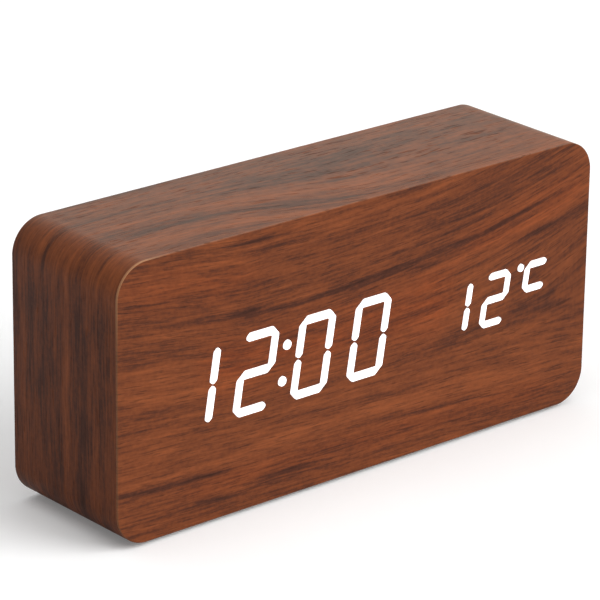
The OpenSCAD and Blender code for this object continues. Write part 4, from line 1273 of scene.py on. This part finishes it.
class CLOCK_OT_wiring(bpy.types.Operator):
    """Runs the ribbon between the boards and the two supply wires"""

    bl_idname = "clock.wiring"
    bl_label = "Wiring"

    def execute(self, context):
        self.ribbon()
        self.supply("red_lead", "red_wire", "red wire", "wire_red")
        self.supply("black_lead", "black_wire", "black wire", "wire_black")
        return {"FINISHED"}

    def ribbon(self):
        """Eight round cores side by side, carried along an S between the sockets. The outline
        across is half circles of one core each, joined by thin webs."""
        low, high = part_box("ribbon_cable")
        sockets_low, sockets_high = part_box("ribbon_sockets")
        start = np.array([sockets_high.x - SOCKET_IN, low.y, sockets_low.z + SOCKET_MID])
        end = np.array([sockets_low.x + SOCKET_IN, high.y, sockets_high.z - SOCKET_MID])
        rise = np.array([0, high.y - low.y, 0])
        path = smooth_path(
            [start, start + rise * RIBBON_BEND, start + (end - start) * RIBBON_BEND,
             end + (start - end) * RIBBON_BEND, end - rise * RIBBON_BEND, end], RIBBON_STEPS
        )
        turn = np.linspace(np.pi, 0, CORE_STEPS)[:-1]
        across = np.concatenate([
            (k - CORES / 2 + 0.5) * 2 * CORE_R + CORE_R * np.cos(turn) for k in range(CORES)
        ])
        thick = np.tile(CORE_R * np.sin(turn), CORES)
        thick[len(turn)::len(turn)] = CORE_R * WEB
        across = np.concatenate([across, [CORES * CORE_R], across[:0:-1]])
        thick = np.concatenate([thick, [0.0], -thick[:0:-1]])
        wide = np.broadcast_to([1.0, 0.0, 0.0], path.shape)
        up = unit(np.cross(unit(np.gradient(path, axis=0)), wide))
        points = carried(path, across, wide, thick, up)
        share = (across - across.min()) / np.ptp(across)
        uv = grid(np.linspace(0, 1, len(path)), np.append(share, share[0]))
        ribbon = surface("ribbon_cores", points, uv, round_v=True, close_ends=True, sharp=70)
        place(ribbon, CASE, "ribbon_grey", "ribbon", "ribbon_cable")

    def supply(self, name, node, material, slot):
        """A soft wire from under the battery box, along and down to the board, with a bare
        soldered end."""
        low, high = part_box(node)
        left = middle(node).x < middle("battery_box").x
        z = (low.z + high.z) / 2
        far, near = (low.x + WIRE_IN, high.x - WIRE_IN)
        box_x, board_x = (far, near) if left else (near, far)
        run_y = high.y - 1.6 * MM
        step = MM if board_x > box_x else -MM
        path = smooth_path(
            [(box_x, high.y, z),
             (box_x + step * 0.5, run_y + 0.4 * MM, z),
             (box_x + step * 2.4, run_y - 0.1 * MM, z + 0.15 * MM),
             ((box_x + board_x) / 2, run_y - 0.5 * MM, z + 0.4 * MM),
             (board_x - step * 2.0, run_y - 1.2 * MM, z + 0.1 * MM),
             (board_x - step * 0.2, run_y - 3.6 * MM, z),
             (board_x, low.y + 1.6 * MM, z)], WIRE_STEPS
        )
        wire = tube(name + "_skin", path, WIRE_R, (0, 0, 1))
        place(wire, CASE, slot, material, node)
        bare = smooth_path([(board_x, low.y + up * MM, z) for up in (1.7, 0.6, 0.0)], 8)
        core = tube(name + "_core", bare, WIRE_CORE_R, (0, 0, 1), 10)
        place(core, CASE, slot, "plated")
        joint = turned(name + "_solder", SOLDER_PROFILE, (board_x, low.y, z), (0, 1, 0), 20)
        place(joint, CASE, slot, "zinc")


class CLOCK_OT_controls(bpy.types.Operator):
    """Finishes the control insert, its buttons, switches, inlet, microphone and sensor"""

    bl_idname = "clock.controls"
    bl_label = "Controls"

    def execute(self, context):
        dress("control_plate", "black", 0.12 * MM)
        dress("set_button up_button down_button", "cap", 0.22 * MM)
        dress("set_plunger up_plunger down_plunger", "cream", 0.1 * MM)
        dress("switch_bodies", "black", 0.08 * MM)
        dress("usb_port", "plated", 0.06 * MM)
        dress("usb_tongue", "black", 0.05 * MM)
        dress("microphone", "plated", 0.1 * MM)
        dress("thermistor", "bead", 0.02 * MM)
        return {"FINISHED"}


CELLS = ("cell_top", "cell_middle", "cell_bottom")
BUTTON_NEAR = 2 * MM  # a cell this close to the right contacts has its button there
PLATE_T = 0.4 * MM
SPRING_WIRE_R, SPRING_CLEAR = 0.3 * MM, 0.01 * MM
SPRING_WIDE_R, SPRING_NARROW_R = 3.35 * MM, 2.45 * MM
SPRING_TURNS, FLAT_TURN, FLAT_RISE = 4.6, 0.8, 0.07
SPRING_STEPS = 190


class CLOCK_OT_battery(bpy.types.Operator):
    """Finishes the battery box and its door, and fills it with cells, springs and contacts"""

    bl_idname = "clock.battery"
    bl_label = "Battery box"

    def execute(self, context):
        dress("battery_box", "black", 0.12 * MM)
        dress("battery_door", "black", 0.18 * MM)
        dress("cell_contacts", "nickel", 0.08 * MM)
        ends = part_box("cell_contacts")
        for name in CELLS:
            self.cell(name, ends)
        self.springs(ends)
        return {"FINISHED"}

    def cell(self, node, ends):
        """A cell turned from one profile: a domed button, a crimped shoulder, the sleeve, and
        a shallow dished far end."""
        low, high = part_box(node)
        centre = (low + high) / 2
        to_right = abs(high.x - ends[1].x) < BUTTON_NEAR
        start = (high.x if to_right else low.x, centre.y, centre.z)
        way = -1 if to_right else 1
        length = (high.x - low.x) / MM
        r = (high.z - low.z) / 2 / MM
        profile = MM * np.vstack([
            [(0.02, 0.9)],
            quarter((0.30, 1.6), 0.30, 180, 90, 5),
            [(0.85, 1.95), (0.9, 2.3), (0.95, r - 1.0), (0.97, r - 0.75)],
            quarter((1.3, r - 0.38), 0.38, 180, 90, 6),
            [(2.25, r), (2.35, r - 0.08), (2.6, r - 0.08), (2.7, r)],
            [(length / 2, r), (length - 1.5, r), (length - 1.45, r - 0.07)],
            quarter((length - 0.45, r - 0.52), 0.45, 90, 0, 6),
            [(length - 0.1, r - 1.1), (length - 0.12, 1.0)],
        ])
        cell = turned(node + "_sleeve", profile, start, (way, 0, 0), 56, uv=True)
        place(cell, CASE, "cell_label", "cell", node)

    def springs(self, ends):
        """Cone springs: a wire wound about X whose radius falls and whose pitch opens from the
        plate to the cell, with a flat first and last turn."""
        pieces = []
        for node in CELLS:
            low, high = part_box(node)
            centre = (low + high) / 2
            from_left = abs(high.x - ends[1].x) < BUTTON_NEAR
            way = 1.0 if from_left else -1.0
            plate = (ends[0].x if from_left else ends[1].x) + way * PLATE_T
            reach = low.x if from_left else high.x
            length = abs(reach - plate) - 2 * (SPRING_WIRE_R + SPRING_CLEAR)
            t = np.linspace(0, 1, SPRING_STEPS)
            rise = np.clip((t * SPRING_TURNS - FLAT_TURN) / (SPRING_TURNS - 2 * FLAT_TURN), 0, 1)
            rise = (1 - FLAT_RISE) * rise + FLAT_RISE * t
            radius = SPRING_WIDE_R + (SPRING_NARROW_R - SPRING_WIDE_R) * t
            turn = 2 * np.pi * SPRING_TURNS * t
            path = np.stack([
                plate + way * (SPRING_WIRE_R + SPRING_CLEAR + length * rise),
                centre.y + radius * np.cos(turn),
                centre.z + radius * np.sin(turn),
            ], axis=1)
            pieces.append(tube("spring", path, SPRING_WIRE_R, (1, 0, 0), 10))
        place(joined("coil_springs", pieces), CASE, "contact_steel", "nickel", "cell_springs")


KEY_FROM, KEY_SPREAD = (0.45, -0.72, 0.53), 50  # degrees
TOP_FROM, TOP_SPREAD = (-0.10, 0.10, 0.99), 70
FLOOR_REACH, FLOOR_STEPS = 6.0, 41
POLISH_LEFT, POLISH_TINT = 0.4, (1.0, 0.99, 0.88)
SENSOR_W, LENS = 36, 226.46  # millimetres
CAMERA_TURN, CAMERA_RISE, CAMERA_ROLL = -40.843, 20.972, 0.828  # degrees
CAMERA_FAR = 0.91836
AIM_X, AIM_UP = -3.113 * MM, 39.217 * MM


class CLOCK_OT_stage(bpy.types.Operator):
    """Lays the floor, hangs the lamps and sets the camera"""

    bl_idname = "clock.stage"
    bl_label = "Stage"

    def execute(self, context):
        scene = context.scene
        scene.view_settings.view_transform = "Standard"
        self.floor()
        self.surroundings(scene)
        stage = settings().stage
        self.lamp("key", KEY_FROM, KEY_SPREAD, stage.key)
        self.lamp("top", TOP_FROM, TOP_SPREAD, stage.top)
        self.camera(scene)
        return {"FINISHED"}

    def floor(self):
        """A level sheet."""
        t = np.linspace(-FLOOR_REACH, FLOOR_REACH, FLOOR_STEPS)
        x, y = np.meshgrid(t, t, indexing="ij")
        points = np.stack([x, y, np.zeros_like(x)], axis=-1)
        sheet = surface("floor", points)
        sheet.data.materials.append(finish("floor"))

    def surroundings(self, scene):
        """White all round. A polish sees it dimmer to the left, and a little warm."""
        world = bpy.data.worlds.new("white surroundings")
        world.use_nodes = True
        stage = settings().stage
        b = Bench(world.node_tree)
        ray = b.put("LightPath").outputs
        to_right, _, _ = b.parts(b.put("TexCoord").outputs["Generated"])
        dimmer = stage.sheen * POLISH_LEFT
        polish = b.stretch(to_right, -0.1, 0.5, dimmer, stage.sheen, smooth=True)
        fill = b.add(stage.sky, b.times(ray["Is Glossy Ray"], b.less(polish, stage.sky)))
        fill = b.maths("MAXIMUM", fill, ray["Is Camera Ray"])
        back = world.node_tree.nodes["Background"]
        warm = b.blend(ray["Is Glossy Ray"], (1.0, 1.0, 1.0), POLISH_TINT)
        b.set(back.inputs["Color"], warm)
        b.set(back.inputs["Strength"], fill)
        scene.world = world

    def lamp(self, name, towards, spread, strength):
        """A far lamp in a direction, as wide as a soft box of that many degrees."""
        data = bpy.data.lights.new(name, "SUN")
        data.angle = math.radians(spread)
        data.energy = strength
        lamp = bpy.data.objects.new(name, data)
        bpy.context.scene.collection.objects.link(lamp)
        lamp.matrix_world = standing(np.asarray(towards), towards, 0.0)

    def camera(self, scene):
        """The camera stands left of and above the block, and is turned a little about its own
        line of sight. The aim is given from the middle of the block's bottom."""
        data = bpy.data.cameras.new("camera")
        data.sensor_width = SENSOR_W
        data.lens = LENS
        camera = bpy.data.objects.new("camera", data)
        scene.collection.objects.link(camera)
        a, e = math.radians(CAMERA_TURN), math.radians(CAMERA_RISE)
        back = np.array([math.sin(a) * math.cos(e), -math.cos(a) * math.cos(e), math.sin(e)])
        aim = np.array([AIM_X, 0.0, BAND_LOW.z + AIM_UP])
        camera.matrix_world = standing(aim + back * CAMERA_FAR, back, math.radians(CAMERA_ROLL))
        scene.camera = camera


def standing(where, back, roll):
    """A matrix for a lamp or camera at a place, whose back looks along a direction, turned by
    roll about it."""
    back = np.asarray(back, float) / np.linalg.norm(back)
    right = np.cross([0, 0, 1], back)
    right /= np.linalg.norm(right)
    up = np.cross(back, right)
    c, s = math.cos(roll), math.sin(roll)
    right, up = c * right + s * up, -s * right + c * up
    matrix = np.eye(4)
    matrix[:3, 0], matrix[:3, 1], matrix[:3, 2], matrix[:3, 3] = right, up, back, where
    return Matrix(matrix.tolist())


# ---------------------------------------------------------------------------
# Panel and running
# ---------------------------------------------------------------------------

OPERATORS = (
    CLOCK_OT_veneer,
    CLOCK_OT_case,
    CLOCK_OT_display,
    CLOCK_OT_boards,
    CLOCK_OT_wiring,
    CLOCK_OT_controls,
    CLOCK_OT_battery,
    CLOCK_OT_stage,
)


class CLOCK_PT_workshop(bpy.types.Panel):
    """Buttons and settings for the clock's pieces"""

    bl_idname = "CLOCK_PT_workshop"
    bl_label = "Alarm Clock"
    bl_space_type = "VIEW_3D"
    bl_region_type = "UI"
    bl_category = "Alarm Clock"

    def draw(self, context):
        column = self.layout.column()
        for operator in OPERATORS:
            column.operator(operator.bl_idname)
        for part in ("veneer", "display", "plastic", "stage"):
            box = self.layout.box()
            box.label(text=part.capitalize())
            chosen = getattr(context.scene.clock, part)
            for key in chosen.bl_rna.properties.keys():
                if key not in ("rna_type", "name"):
                    box.prop(chosen, key)


CLASSES = (
    ClockVeneerSettings,
    ClockDisplaySettings,
    ClockPlasticSettings,
    ClockStageSettings,
    ClockSettings,
    *OPERATORS,
    CLOCK_PT_workshop,
)


def register():
    for cls in CLASSES:
        bpy.utils.register_class(cls)
    bpy.types.Scene.clock = bpy.props.PointerProperty(type=ClockSettings)


def unregister():
    del bpy.types.Scene.clock
    for cls in reversed(CLASSES):
        bpy.utils.unregister_class(cls)


def main():
    register()
    for operator in OPERATORS:
        group_name, name = operator.bl_idname.split(".")
        getattr(getattr(bpy.ops, group_name), name)()


if __name__ == "__main__":
    main()
